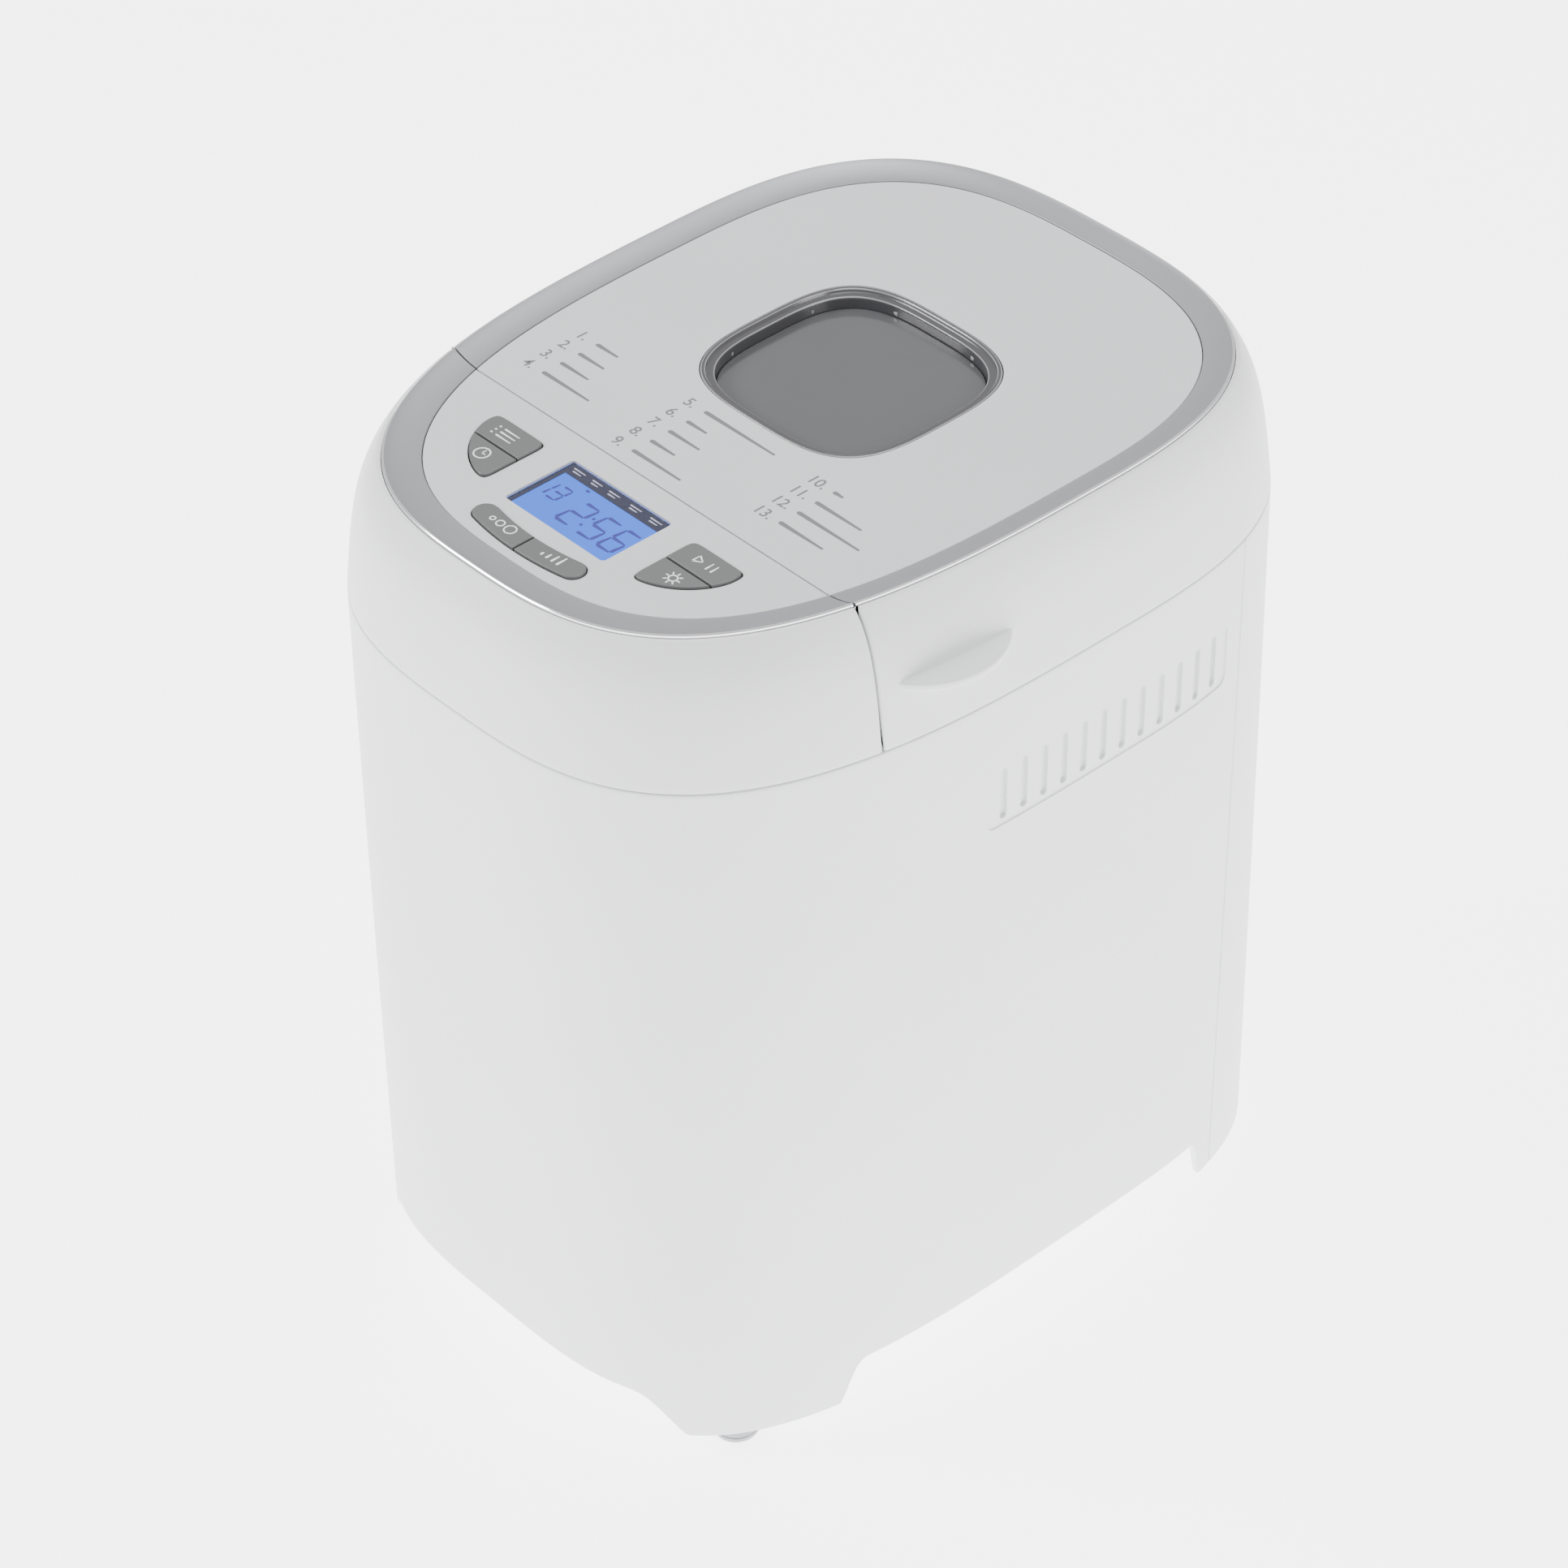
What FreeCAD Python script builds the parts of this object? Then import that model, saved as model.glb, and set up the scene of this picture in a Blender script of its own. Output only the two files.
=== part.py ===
import FreeCAD, Part
import Sketcher
import os
import re
from math import cos, exp, pi, sin

# Bread machine, millimetres.  +Z up, front towards -Y, symmetric about X = 0.
# The origin is on the surface that the rubber feet stand on, below the middle of the whole machine.

SIZES = [
    # casing
    ("body_half_width", 110.8, "seam outline, half width"),
    ("body_front", 173.5, "seam outline, widest line to front end"),
    ("body_rear", 114.5, "seam outline, widest line to rear end"),
    ("widest_y", 26.5, "place of the widest line"),
    ("total_height", 326.5, "floor to top of trim ring"),
    ("lid_height", 48.9, "seam to top of trim ring"),
    ("shoulder_side", 10.8, "trim ring inside the seam outline, at the side"),
    ("shoulder_front", 11.2, "the same at the front"),
    ("shoulder_rear", 10.0, "the same at the rear"),
    ("shoulder_round", 10.3, "depth over which the shoulder turns down"),
    ("shoulder_flare", 0.52, "slope left at the seam, as a share of the turn"),
    ("draft_side", 5.0, "casing narrower at the bottom edge, each side"),
    ("draft_front", 1.2, "the same at the front"),
    ("draft_rear", 1.5, "the same at the rear"),
    ("ring_power", 2.9, "squareness of the trim ring"),
    ("seam_power", 3.05, "squareness of the seam outline"),
    ("base_power", 3.55, "squareness of the bottom edge"),
    ("wall", 2.6, "plastic wall"),
    ("seam_gap", 0.35, "gap between lid and housing"),
    ("bottom_edge", 24.4, "arches, above the floor"),
    ("skirt_bottom", 7.7, "corner skirts, above the floor"),
    ("front_arch_top", 57.0, "front arch, half width at its top"),
    ("front_arch_foot", 75.2, "front arch, half width at the skirt's foot"),
    ("rear_arch_top", 66.0, "rear arch, half width at its top"),
    ("rear_arch_foot", 77.0, "rear arch, half width at the skirt's foot"),
    ("side_arch_front", 64.7, "side arch, front foot behind the front end"),
    ("side_arch_rear", 58.7, "side arch, rear foot ahead of the rear end"),
    ("side_arch_rise", 11.0, "side arch, run of its front curve"),
    ("rear_joint", 52.0, "rear cover joint ahead of the rear end"),
    ("joint_gap", 0.4, "gap between housing and rear cover"),
    ("lap_depth", 8.0, "rear cover lip behind the housing wall"),
    ("lap_fit", 0.15, "clearance of laps behind the wall"),
    ("lap_foot", 6.0, "foot of that lip above the arches"),
    ("louvre_count", 13, "rear louvres"),
    ("louvre_pitch", 9.0, "step from louvre to louvre"),
    ("louvre_wide", 3.2, "louvre width"),
    ("louvre_tall", 26.0, "louvre height"),
    ("louvre_below", 62.0, "louvre foot below the deck"),
    ("base_thick", 2.6, "base plate"),
    ("base_rise", 0.6, "base plate above the arches"),
    ("base_slot_count", 9, "cooling slots in the base plate"),
    ("base_slot_pitch", 9.0, "step from slot to slot"),
    ("base_slot_wide", 3.2, "cooling slot width"),
    ("base_slot_half", 34.0, "cooling slot, half length"),
    # trim ring, panels and the split between lid and controls
    ("ring_side", 9.7, "trim ring width at the side"),
    ("ring_front", 12.1, "trim ring width at the front"),
    ("ring_rear", 8.3, "trim ring width at the rear"),
    ("ring_drop", 2.7, "inner edge below the outer edge"),
    ("ring_rim", 0.8, "bright rim on the outer edge"),
    ("ring_proud", 1.0, "trim ring above the shoulder"),
    ("ring_seat", 0.15, "clearance round the trim ring"),
    ("ledge_depth", 6.4, "ledge below the top of the trim ring"),
    ("ledge_thick", 2.4, "ledge under the trim ring"),
    ("ledge_reach", 2.4, "ledge past the trim ring's inner edge"),
    ("panel_sink", 0.2, "panels below the ring's inner edge"),
    ("panel_gap", 0.25, "gap round the panels"),
    ("split_depth", 69.2, "split behind the trim ring's front end"),
    ("split_gap", 0.9, "gap of the split"),
    # finger grips and side vents
    ("grip_depth", 26.5, "grip top below the top of the ring"),
    ("grip_thick", 3.2, "grip ledge"),
    ("grip_chord", 42.0, "grip length along the wall"),
    ("grip_out", 9.8, "grip, out from the wall"),
    ("grip_y", -36.5, "grip centre"),
    ("vent_top", 75.5, "vent frame top below the top of the ring"),
    ("vent_tall", 24.6, "vent frame height"),
    ("vent_front", -27.5, "vent frame front end"),
    ("vent_long", 108.0, "vent frame length"),
    ("vent_count", 12, "slots"),
    ("vent_margin", 2.3, "slot ends to frame"),
    ("vent_slot", 3.0, "slot width"),
    ("vent_sink", 0.45, "frame depth"),
    ("slot_sink", 1.3, "slot depth"),
    ("vent_corner", 3.5, "corner radius of the vent frame"),
    ("grip_round", 1.1, "rounded rim of the grips"),
    # window
    ("window_half", 41.7, "window opening, half width"),
    ("window_half_long", 40.8, "window opening, half length"),
    ("window_y", 17.9, "window centre"),
    ("window_power", 3.36, "squareness of the window"),
    ("frame_wall", 4.2, "window frame wall"),
    ("frame_step", 3.2, "glass seat, in from the frame's bore"),
    ("glass_sink", 5.2, "glass below the panel"),
    ("glass_thick", 3.0, "both glasses"),
    # controls
    ("display_half", 22.9, "display, half width"),
    ("display_long", 27.8, "display, front to rear"),
    ("display_back", 9.8, "display rear edge ahead of the split"),
    ("button_gap", 0.45, "gap round the buttons"),
    ("button_proud", 0.9, "buttons above the panel"),
    ("button_travel", 1.0, "button travel"),
    ("key_inner", 34.5, "round keys, inner edge"),
    ("key_outer", 57.2, "round keys, outer edge"),
    ("key_back", 11.4, "round keys, rear edge ahead of the split"),
    ("key_round", 27.5, "round keys, radius of their outer side"),
    ("key_round_x", 31.0, "centre of that round"),
    ("key_round_back", 9.3, "centre of that round ahead of the split"),
    ("key_split", 22.8, "joint of each key pair ahead of the split"),
    ("key_joint", 0.7, "gap between paired keys"),
    ("key_corner", 2.0, "corner radius of the keys"),
    ("bar_half", 20.3, "bar keys, half length between the end rounds"),
    ("bar_radius", 4.15, "bar keys, half width"),
    ("bar_bend", 105.0, "bar keys, radius of their bend"),
    ("bar_back", 49.0, "bar keys, middle ahead of the split"),
    ("key_depth", 5.0, "keys below the panel"),
    ("key_edge", 0.35, "rounded top edge of the keys"),
    ("stem_radius", 1.7, "peg below each key"),
    ("press_gap", 0.25, "gap between a pressed key's peg and its switch"),
    ("lens_fit", 0.15, "clearance round the lens"),
    ("lens_thick", 1.8, "display lens"),
    ("lens_sink", 0.4, "lens below the panel"),
    ("display_corner", 1.5, "corner radius of the display"),
    ("module_over", 2.0, "display module past the lens, each side"),
    ("module_thick", 5.2, "display module"),
    ("board_depth", 13.0, "control board below the panel"),
    ("board_half", 62.0, "control board, half width"),
    ("board_thick", 1.6, "both circuit boards"),
    ("peg_radius", 2.6, "board pegs"),
    ("peg_x", 29.0, "board pegs from the middle"),
    ("switch_half", 3.0, "tact switches, half width"),
    ("switch_tall", 4.3, "tact switches"),
    ("switch_stem", 1.6, "tact switch plunger radius"),
    # baking chamber and lid liner
    ("deck_below", 5.0, "deck top below the seam"),
    ("deck_thick", 2.6, "deck"),
    ("steel", 0.8, "chamber and liner sheet"),
    ("chamber_side", 27.0, "chamber inside the casing, each side"),
    ("chamber_front", 10.0, "chamber behind the split"),
    ("chamber_rear", 19.0, "chamber ahead of the rear end"),
    ("chamber_round", 30.0, "chamber corner radius"),
    ("chamber_lip", 4.0, "chamber flange"),
    ("chamber_floor", 80.0, "chamber floor above the table"),
    ("liner_over", 2.5, "lid liner outside the chamber"),
    ("liner_rise", 27.0, "lid liner's roof above the deck"),
    ("liner_gap", 1.0, "lid liner's edge above the chamber flange"),
    ("lid_post_radius", 4.0, "posts between lid and liner"),
    ("lid_post_in", 15.0, "those posts inside the trim ring"),
    ("lid_post_front", 24.0, "front posts behind the chamber's front"),
    ("lid_post_rear", 48.0, "rear posts ahead of the chamber's rear"),
    ("lid_post_bore", 9.0, "screw bore in those posts"),
    ("thread_fit", 0.05, "clearance round a screw in its own bore"),
    # bread pan
    ("pan_side_gap", 16.0, "pan inside the chamber, each side"),
    ("pan_end_gap", 17.0, "pan inside the chamber, front and rear"),
    ("pan_wall", 1.3, "pan wall"),
    ("pan_round", 20.0, "pan corner radius"),
    ("pan_drop", 36.6, "pan rim below the deck"),
    ("pan_floor_rise", 22.0, "pan floor above the chamber floor"),
    ("pan_rim", 3.0, "rolled rim, out from the wall"),
    ("pan_ring", 44.0, "base ring radius"),
    ("pan_ring_rise", 8.0, "base ring foot above the chamber floor"),
    ("seat_gap", 0.5, "clearance in the pan seat"),
    ("seat_wall", 4.0, "pan seat wall"),
    ("seat_tall", 11.0, "pan seat height"),
    ("ear_tall", 10.0, "handle ears above the rim"),
    ("ear_half", 7.0, "handle ears, half width"),
    ("pivot_rise", 5.0, "handle pivot above the rim"),
    ("bail_radius", 2.2, "handle wire"),
    ("bail_reach", 53.5, "handle length"),
    ("bail_gap", 1.2, "handle outside the rim"),
    ("bail_bend", 14.0, "handle corner radius"),
    ("pivot_radius", 1.6, "handle pivot"),
    ("ear_thick", 2.0, "handle ears"),
    ("rivet_cap", 1.1, "rivet caps"),
    ("rivet_over", 1.4, "rivet heads past the pin, and their thickness"),
    ("pan_foot_round", 8.0, "rounding at the pan's foot"),
    ("rim_tall", 2.4, "rolled rim height"),
    ("bush_tall", 14.0, "bush in the pan floor"),
    ("bush_under", 4.0, "that bush below the pan floor"),
    ("seal_tall", 2.5, "shaft seal"),
    ("paddle_tall", 21.0, "paddle hub"),
    ("paddle_hub", 9.5, "paddle hub radius at its foot"),
    ("paddle_taper", 2.0, "paddle hub narrower at its top"),
    ("blade_long", 38.0, "paddle blade, from the axis"),
    ("blade_half", 2.6, "paddle blade, half thickness"),
    ("blade_tall", 19.0, "paddle blade"),
    ("blade_foot", 3.5, "wedge at the blade's foot"),
    ("flat_depth", 1.0, "flat on the pan shaft"),
    ("running", 0.05, "radial clearance of shafts and pins"),
    # drive
    ("shaft_radius", 4.0, "drive and pan shafts"),
    ("plate_height", 62.0, "drive frame above the table"),
    ("plate_thick", 3.0, "drive frame"),
    ("plate_half", 70.0, "drive frame, half width"),
    ("post_radius", 5.0, "frame posts"),
    ("post_x", 62.0, "frame posts, from the middle"),
    ("post_front", 62.0, "frame posts ahead of the drive shaft"),
    ("post_rear", 62.0, "frame posts behind the drive shaft"),
    ("boss_radius", 11.0, "bearing boss"),
    ("bush_radius", 8.0, "bearing bush"),
    ("belt_low", 32.0, "belt above the table"),
    ("belt_wide", 10.0, "belt width"),
    ("belt_thick", 2.0, "belt thickness"),
    ("belt_gap", 0.3, "belt off the pulleys"),
    ("pulley_radius", 46.0, "driven pulley"),
    ("pinion_radius", 10.0, "motor pulley"),
    ("flange_over", 3.0, "pulley flanges past the belt's inner face"),
    ("flange_thick", 1.5, "pulley flanges"),
    ("motor_radius", 32.0, "motor can"),
    ("motor_tall", 58.0, "motor can"),
    ("motor_shaft", 3.0, "motor shaft radius"),
    ("dog_low", 3.5, "coupler hub top above the chamber floor's top face"),
    ("coupler_radius", 13.0, "both halves of the coupling"),
    ("coupler_thick", 3.5, "drive half, plate"),
    ("driven_thick", 3.0, "pan half, plate"),
    ("dog_tall", 5.0, "coupling dogs"),
    ("dog_gap", 0.6, "coupling dogs' end gap"),
    ("dog_half", 2.6, "coupling dogs, half width"),
    ("dog_inner", 6.0, "coupling dogs' inner face from the axis"),
    ("hub_wall", 2.5, "wall of the drive half's hub"),
    ("press_fit", 0.02, "clearance of pressed parts on a shaft"),
    ("plate_front", 36.0, "drive frame ahead of the motor axis"),
    ("plate_rear", 9.0, "drive frame behind the rear posts"),
    ("plate_corner", 12.0, "corner radius of the drive frame"),
    ("boss_low", 9.0, "bearing boss below the drive frame"),
    ("boss_high", 7.0, "bearing boss above the drive frame"),
    ("bearing_tall", 16.0, "bearing bush below its collar"),
    ("bearing_collar", 1.5, "collar of the bearing bush"),
    ("motor_hole", 22.0, "motor screws from the motor axis, both ways"),
    ("motor_round", 4.0, "rounded top of the motor can"),
    ("motor_shift", 3.0, "motor ahead of the middle between wall and chamber"),
    # heater
    ("element_radius", 3.2, "heater tube"),
    ("element_rise", 20.0, "heater above the chamber floor"),
    ("element_bend", 16.0, "heater bend radius"),
    ("element_lead", 14.0, "heater ends, from the middle"),
    ("element_out", 7.0, "heater ends ahead of the chamber"),
    ("clip_y", 30.0, "heater clips from the drive shaft"),
    ("clip_half", 4.0, "heater clips, half width"),
    ("sensor_radius", 3.2, "temperature sensor"),
    ("sensor_long", 21.0, "temperature sensor"),
    ("sensor_flange", 6.0, "temperature sensor's flange radius"),
    ("fuse_x0", 30.0, "thermal fuse, near side"),
    ("fuse_x1", 52.0, "thermal fuse, far side"),
    ("fuse_radius", 2.2, "thermal fuse body"),
    # hinge
    ("hinge_back", 3.6, "hinge axis behind the rear end"),
    ("hinge_below", 3.1, "hinge axis below the seam"),
    ("knuckle_radius", 3.4, "hinge knuckles"),
    ("knuckle_x", 32.0, "hinge centre"),
    ("knuckle_half", 7.0, "middle knuckle, half length"),
    ("ear_long", 8.0, "outer knuckles"),
    ("knuckle_gap", 0.4, "between knuckles"),
    ("pin_radius", 1.6, "hinge pin"),
    # feet, gland and screws
    ("foot_radius", 7.5, "rubber feet"),
    ("foot_tall", 8.0, "rubber feet"),
    ("foot_x", 77.5, "feet from the middle"),
    ("foot_front", 37.2, "front feet behind the front end"),
    ("foot_rear", 40.0, "rear feet ahead of the rear end"),
    ("gland_x", 55.0, "cord gland from the middle"),
    ("gland_height", 50.0, "cord gland above the table"),
    ("gland_bore", 3.6, "cord gland bore radius"),
    ("gland_radius", 8.0, "cord gland flange"),
    ("screw_radius", 1.8, "screw shanks"),
    ("screw_head", 3.6, "screw heads"),
    ("screw_fit", 0.15, "clearance round screw shanks"),
    ("head_tall", 1.8, "screw heads"),
    ("screw_bite", 8.0, "screw depth in its post"),
    # power board
    ("power_gap", 14.0, "power board beside the motor"),
    ("power_front", 16.0, "power board ahead of the motor axis"),
    ("power_rear", 28.0, "power board behind the motor axis"),
    ("power_tall", 78.0, "power board height"),
    ("power_foot", 6.0, "its foot"),
]

doc = FreeCAD.newDocument("BreadMachine")
sheet = doc.addObject("Spreadsheet::Sheet", "sizes")
for row, (alias, value, note) in enumerate(SIZES, 1):
    sheet.set(f"A{row}", alias)
    sheet.set(f"B{row}", str(value))
    sheet.set(f"C{row}", note)
    sheet.setAlias(f"B{row}", alias)
doc.recompute()

ALIASES = {alias for alias, _, _ in SIZES}
WORD = re.compile(r"[a-z]+[a-z0-9_]*")
EPS = 1.0            # how far cutting tools run past what they cut
FAR = 400.0          # larger than the machine
nodes = []


def val(alias):
    return float(sheet.get(alias))


def expand(text):
    """Turn plain size names in an expression into references to the sheet."""
    return WORD.sub(lambda m: "sizes." + m[0] if m[0] in ALIASES else m[0], str(text))


def measure(*texts):
    """The numbers that expressions in plain size names come to, worked out by the sheet."""
    for row, text in enumerate(texts, 1):
        sheet.set(f"E{row}", "=" + str(text))
    sheet.recompute()
    return [float(sheet.get(f"E{row}")) for row in range(1, len(texts) + 1)]


def bind(obj, **expressions):
    for prop, text in expressions.items():
        obj.setExpression(prop.replace("__", "."), expand(text))
    return obj


def place(obj, x, y, z):
    return bind(obj, Placement__Base__x=x, Placement__Base__y=y, Placement__Base__z=z)


def keep(obj, label):
    """Mark an object as a sub-part: its label is the name of its node."""
    obj.Label = label
    nodes.append(obj)
    return obj


def box(name, x0, x1, y0, y1, z0, z1):
    made = doc.addObject("Part::Box", name)
    bind(made, Length=f"({x1})-({x0})", Width=f"({y1})-({y0})", Height=f"({z1})-({z0})")
    return place(made, x0, y0, z0)


def lying_cylinder(name, radius, start, length, y, z):
    """A cylinder along X."""
    made = doc.addObject("Part::Cylinder", name)
    bind(made, Radius=radius, Height=length)
    made.Placement = FreeCAD.Placement(FreeCAD.Vector(), FreeCAD.Rotation(FreeCAD.Vector(0, 1, 0), 90))
    return place(made, start, y, z)


def fuse(name, *parts):
    made = doc.addObject("Part::MultiFuse", name)
    made.Shapes = list(parts)
    return made


def group(name, parts):
    """Several separate solids that share one node."""
    made = doc.addObject("Part::Compound", name)
    made.Links = list(parts)
    return made


def rounded(name, base, radius):
    """Round the upright edges of a solid."""
    doc.recompute()
    made = doc.addObject("Part::Fillet", name)
    made.Base = base
    edges = []
    for index, edge in enumerate(base.Shape.Edges, 1):
        first, last = edge.Vertexes[0].Point, edge.Vertexes[-1].Point
        if abs(first.x - last.x) < 1e-6 and abs(first.y - last.y) < 1e-6:
            edges.append((index, radius, radius))
    made.Edges = edges
    return made


def feature(name, shape):
    made = doc.addObject("Part::Feature", name)
    made.Shape = shape.removeSplitter() if shape.ShapeType != "Compound" else shape
    return made


def turned(name, points, x="0", y="0", z="0"):
    """A body of revolution about Z from a closed outline of (radius, height) expressions."""
    body = doc.addObject("PartDesign::Body", name)
    sketch = body.newObject("Sketcher::SketchObject", name + "_outline")
    planes = {f.Role: f for f in body.Origin.OriginFeatures}
    sketch.AttachmentSupport = [(planes["XZ_Plane"], "")]
    sketch.MapMode = "FlatFace"
    numbers = [tuple(measure(*point)) for point in points]
    count = len(points)
    for k in range(count):
        (ax, az), (bx, bz) = numbers[k], numbers[(k + 1) % count]
        line = Part.LineSegment(FreeCAD.Vector(ax, az, 0), FreeCAD.Vector(bx, bz, 0))
        sketch.addGeometry(line, False)
    for k in range(count):
        sketch.addConstraint(Sketcher.Constraint("Coincident", k, 2, (k + 1) % count, 1))
    for k, (radius, height) in enumerate(points):
        if abs(numbers[k][0]) < 1e-9:
            sketch.addConstraint(Sketcher.Constraint("PointOnObject", k, 1, -2))
        else:
            index = sketch.addConstraint(Sketcher.Constraint("DistanceX", -1, 1, k, 1, numbers[k][0]))
            sketch.setExpression(f"Constraints[{index}]", expand(radius))
        if abs(numbers[k][1]) < 1e-9:
            sketch.addConstraint(Sketcher.Constraint("PointOnObject", k, 1, -1))
        else:
            index = sketch.addConstraint(Sketcher.Constraint("DistanceY", -1, 1, k, 1, numbers[k][1]))
            sketch.setExpression(f"Constraints[{index}]", expand(height))
    turn = body.newObject("PartDesign::Revolution", name + "_turn")
    turn.Profile = sketch
    turn.ReferenceAxis = (sketch, ["V_Axis"])
    turn.Angle = 360.0
    return place(body, x, y, z)


# ---------------------------------------------------------------- outlines and shells

def unit_outline(power, steps=40):
    """Points of a rounded square of half size 1, evenly turned about its middle."""
    points = []
    for k in range(steps):
        c, s = cos(2 * pi * k / steps), sin(2 * pi * k / steps)
        x = abs(c) ** (2 / power) * (1 if c > 0 else -1)
        y = abs(s) ** (2 / power) * (1 if s > 0 else -1)
        points.append((x, y))
    return points


def loop(half, front, rear, power, z, middle=None):
    """Closed smooth outline at height z: half width, and reach to the front and to the rear."""
    middle = val("widest_y") if middle is None else middle
    points = []
    for x, y in unit_outline(power):
        reach = rear if y > 0 else front
        points.append(FreeCAD.Vector(half * x, middle + reach * y, z))
    curve = Part.BSplineCurve()
    curve.interpolate(Points=points, PeriodicFlag=True)
    return Part.Wire([curve.toShape()])


def prism(wire, height):
    return Part.Face(wire).extrude(FreeCAD.Vector(0, 0, height))


def slab(x0, x1, y0, y1, z0, z1):
    return Part.makeBox(x1 - x0, y1 - y0, z1 - z0, FreeCAD.Vector(x0, y0, z0))


half_width, front_reach, rear_reach = val("body_half_width"), val("body_front"), val("body_rear")
widest_y, top_z, wall = val("widest_y"), val("total_height"), val("wall")
seam_z = top_z - val("lid_height")
front_end, rear_end = widest_y - front_reach, widest_y + rear_reach
trim = (half_width - val("shoulder_side"), front_reach - val("shoulder_front"), rear_reach - val("shoulder_rear"))
inner_trim = (trim[0] - val("ring_side"), trim[1] - val("ring_front"), trim[2] - val("ring_rear"))
ring_power = val("ring_power")
split_y = widest_y - trim[1] + val("split_depth")
ring_inner_z = top_z - val("ring_drop")
panel_z = ring_inner_z - val("panel_sink")
ledge_z = top_z - val("ledge_depth")
shoulder_top = top_z - val("ring_proud")
deck_z = seam_z - val("deck_below")


def grown(sizes, by):
    return tuple(size + by for size in sizes)


def casing_loop(z, inset=0.0):
    """Outline of the casing below the seam, which narrows towards the bottom edge."""
    share = (seam_z - z) / (seam_z - val("bottom_edge"))
    power = val("seam_power") + (val("base_power") - val("seam_power")) * share
    return loop(half_width - val("draft_side") * share - inset,
                front_reach - val("draft_front") * share - inset,
                rear_reach - val("draft_rear") * share - inset, power, z)


def shoulder_share(depth):
    """How far the shoulder has spread from the trim ring (0) to the seam (1) at a depth below the top."""
    def turn(d):
        return 1 - exp(-d / val("shoulder_round")) + val("shoulder_flare") * d / val("lid_height")
    return turn(depth) / turn(val("lid_height"))


def shoulder_sizes(z, inset=0.0):
    share = shoulder_share(top_z - z)
    edge = val("ring_seat")
    sizes = [low + edge + (high - low - edge) * share - inset
             for low, high in zip(trim, (half_width, front_reach, rear_reach))]
    power = ring_power + (val("seam_power") - ring_power) * share
    return sizes, power


def shoulder_loop(z, inset=0.0):
    sizes, power = shoulder_sizes(z, inset)
    return loop(*sizes, power, z)


def shoulder_solid(low, high, inset=0.0):
    """The rounded top of the machine, between two heights, with sections closer near the top."""
    sections = 9
    heights = [high - (high - low) * (k / (sections - 1)) ** 1.7 for k in range(sections)]
    return Part.makeLoft([shoulder_loop(z, inset) for z in heights], True, False)


def casing_solid(low, high, inset=0.0):
    return Part.makeLoft([casing_loop(low, inset), casing_loop(high, inset)], True, True)


def top_shell(y0, y1, closed_low):
    """One half of the top: a rounded wall, the ledge that carries ring and panel, and a closing wall."""
    low = seam_z + val("seam_gap")
    floor_z = ledge_z - val("ledge_thick")
    outer = shoulder_solid(low, shoulder_top).common(slab(-FAR, FAR, y0, y1, 0, FAR))
    inner_y = (y0 + wall, y1) if closed_low else (y0, y1 - wall)
    hollow = shoulder_solid(low - EPS, floor_z, wall)
    opening = prism(loop(*grown(inner_trim, -val("ledge_reach")), ring_power, floor_z - EPS), FAR)
    inside = hollow.fuse(opening).common(slab(-FAR, FAR, *inner_y, 0, FAR))
    recess = prism(loop(*grown(trim, val("ring_seat")), ring_power, ledge_z), FAR)
    return outer.cut(inside).cut(recess)


def ring_solid():
    """Trim ring: a bright rim round a dished face that falls towards its inner edge."""
    bottom = ledge_z + val("ring_seat") / 3
    outer = prism(loop(*trim, ring_power, bottom), top_z - bottom)
    dish = Part.makeLoft([loop(*inner_trim, ring_power, ring_inner_z),
                          loop(*grown(trim, -val("ring_rim")), ring_power, top_z + 1e-3)], True, True)
    bore = prism(loop(*inner_trim, ring_power, bottom - EPS), ring_inner_z - bottom + EPS + 1e-3)
    return outer.cut(dish).cut(bore)


def panel_solid():
    bottom = ledge_z + val("ring_seat") / 3
    return prism(loop(*grown(inner_trim, -val("panel_gap")), ring_power, bottom), panel_z - bottom)


def front_half(shape):
    return shape.common(slab(-FAR, FAR, -FAR, split_y - val("split_gap") / 2, 0, FAR))


def rear_half(shape):
    return shape.common(slab(-FAR, FAR, split_y + val("split_gap") / 2, FAR, 0, FAR))


# ---------------------------------------------------------------- housing, rear cover and base

rear_joint_y = rear_end - val("rear_joint")
bottom_z, skirt_z = val("bottom_edge"), val("skirt_bottom")
vent_z = top_z - val("vent_top") - val("vent_tall")
vent_end = val("vent_front") + val("vent_long")


def arch_profile(low_a, low_b, high_a, high_b):
    """Side view of an arch between two skirts: steep at the feet, level at the top."""
    def at(u, z):
        return FreeCAD.Vector(u, z, 0)

    def rise(foot, crown):
        run = crown - foot
        curve = Part.BezierCurve()
        curve.setPoles([at(foot, skirt_z), at(foot + 0.45 * run, skirt_z + 0.8 * (bottom_z - skirt_z)),
                        at(foot + 0.6 * run, bottom_z), at(crown, bottom_z)])
        return curve.toShape()

    under = skirt_z - 2 * EPS
    feet = [at(low_b, skirt_z), at(low_b, under), at(low_a, under), at(low_a, skirt_z)]
    edges = [rise(low_a, high_a), Part.makeLine(at(high_a, bottom_z), at(high_b, bottom_z)), rise(low_b, high_b)]
    edges += [Part.makeLine(a, b) for a, b in zip(feet, feet[1:])]
    return Part.Face(Part.Wire(Part.sortEdges(edges)[0]))


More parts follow.
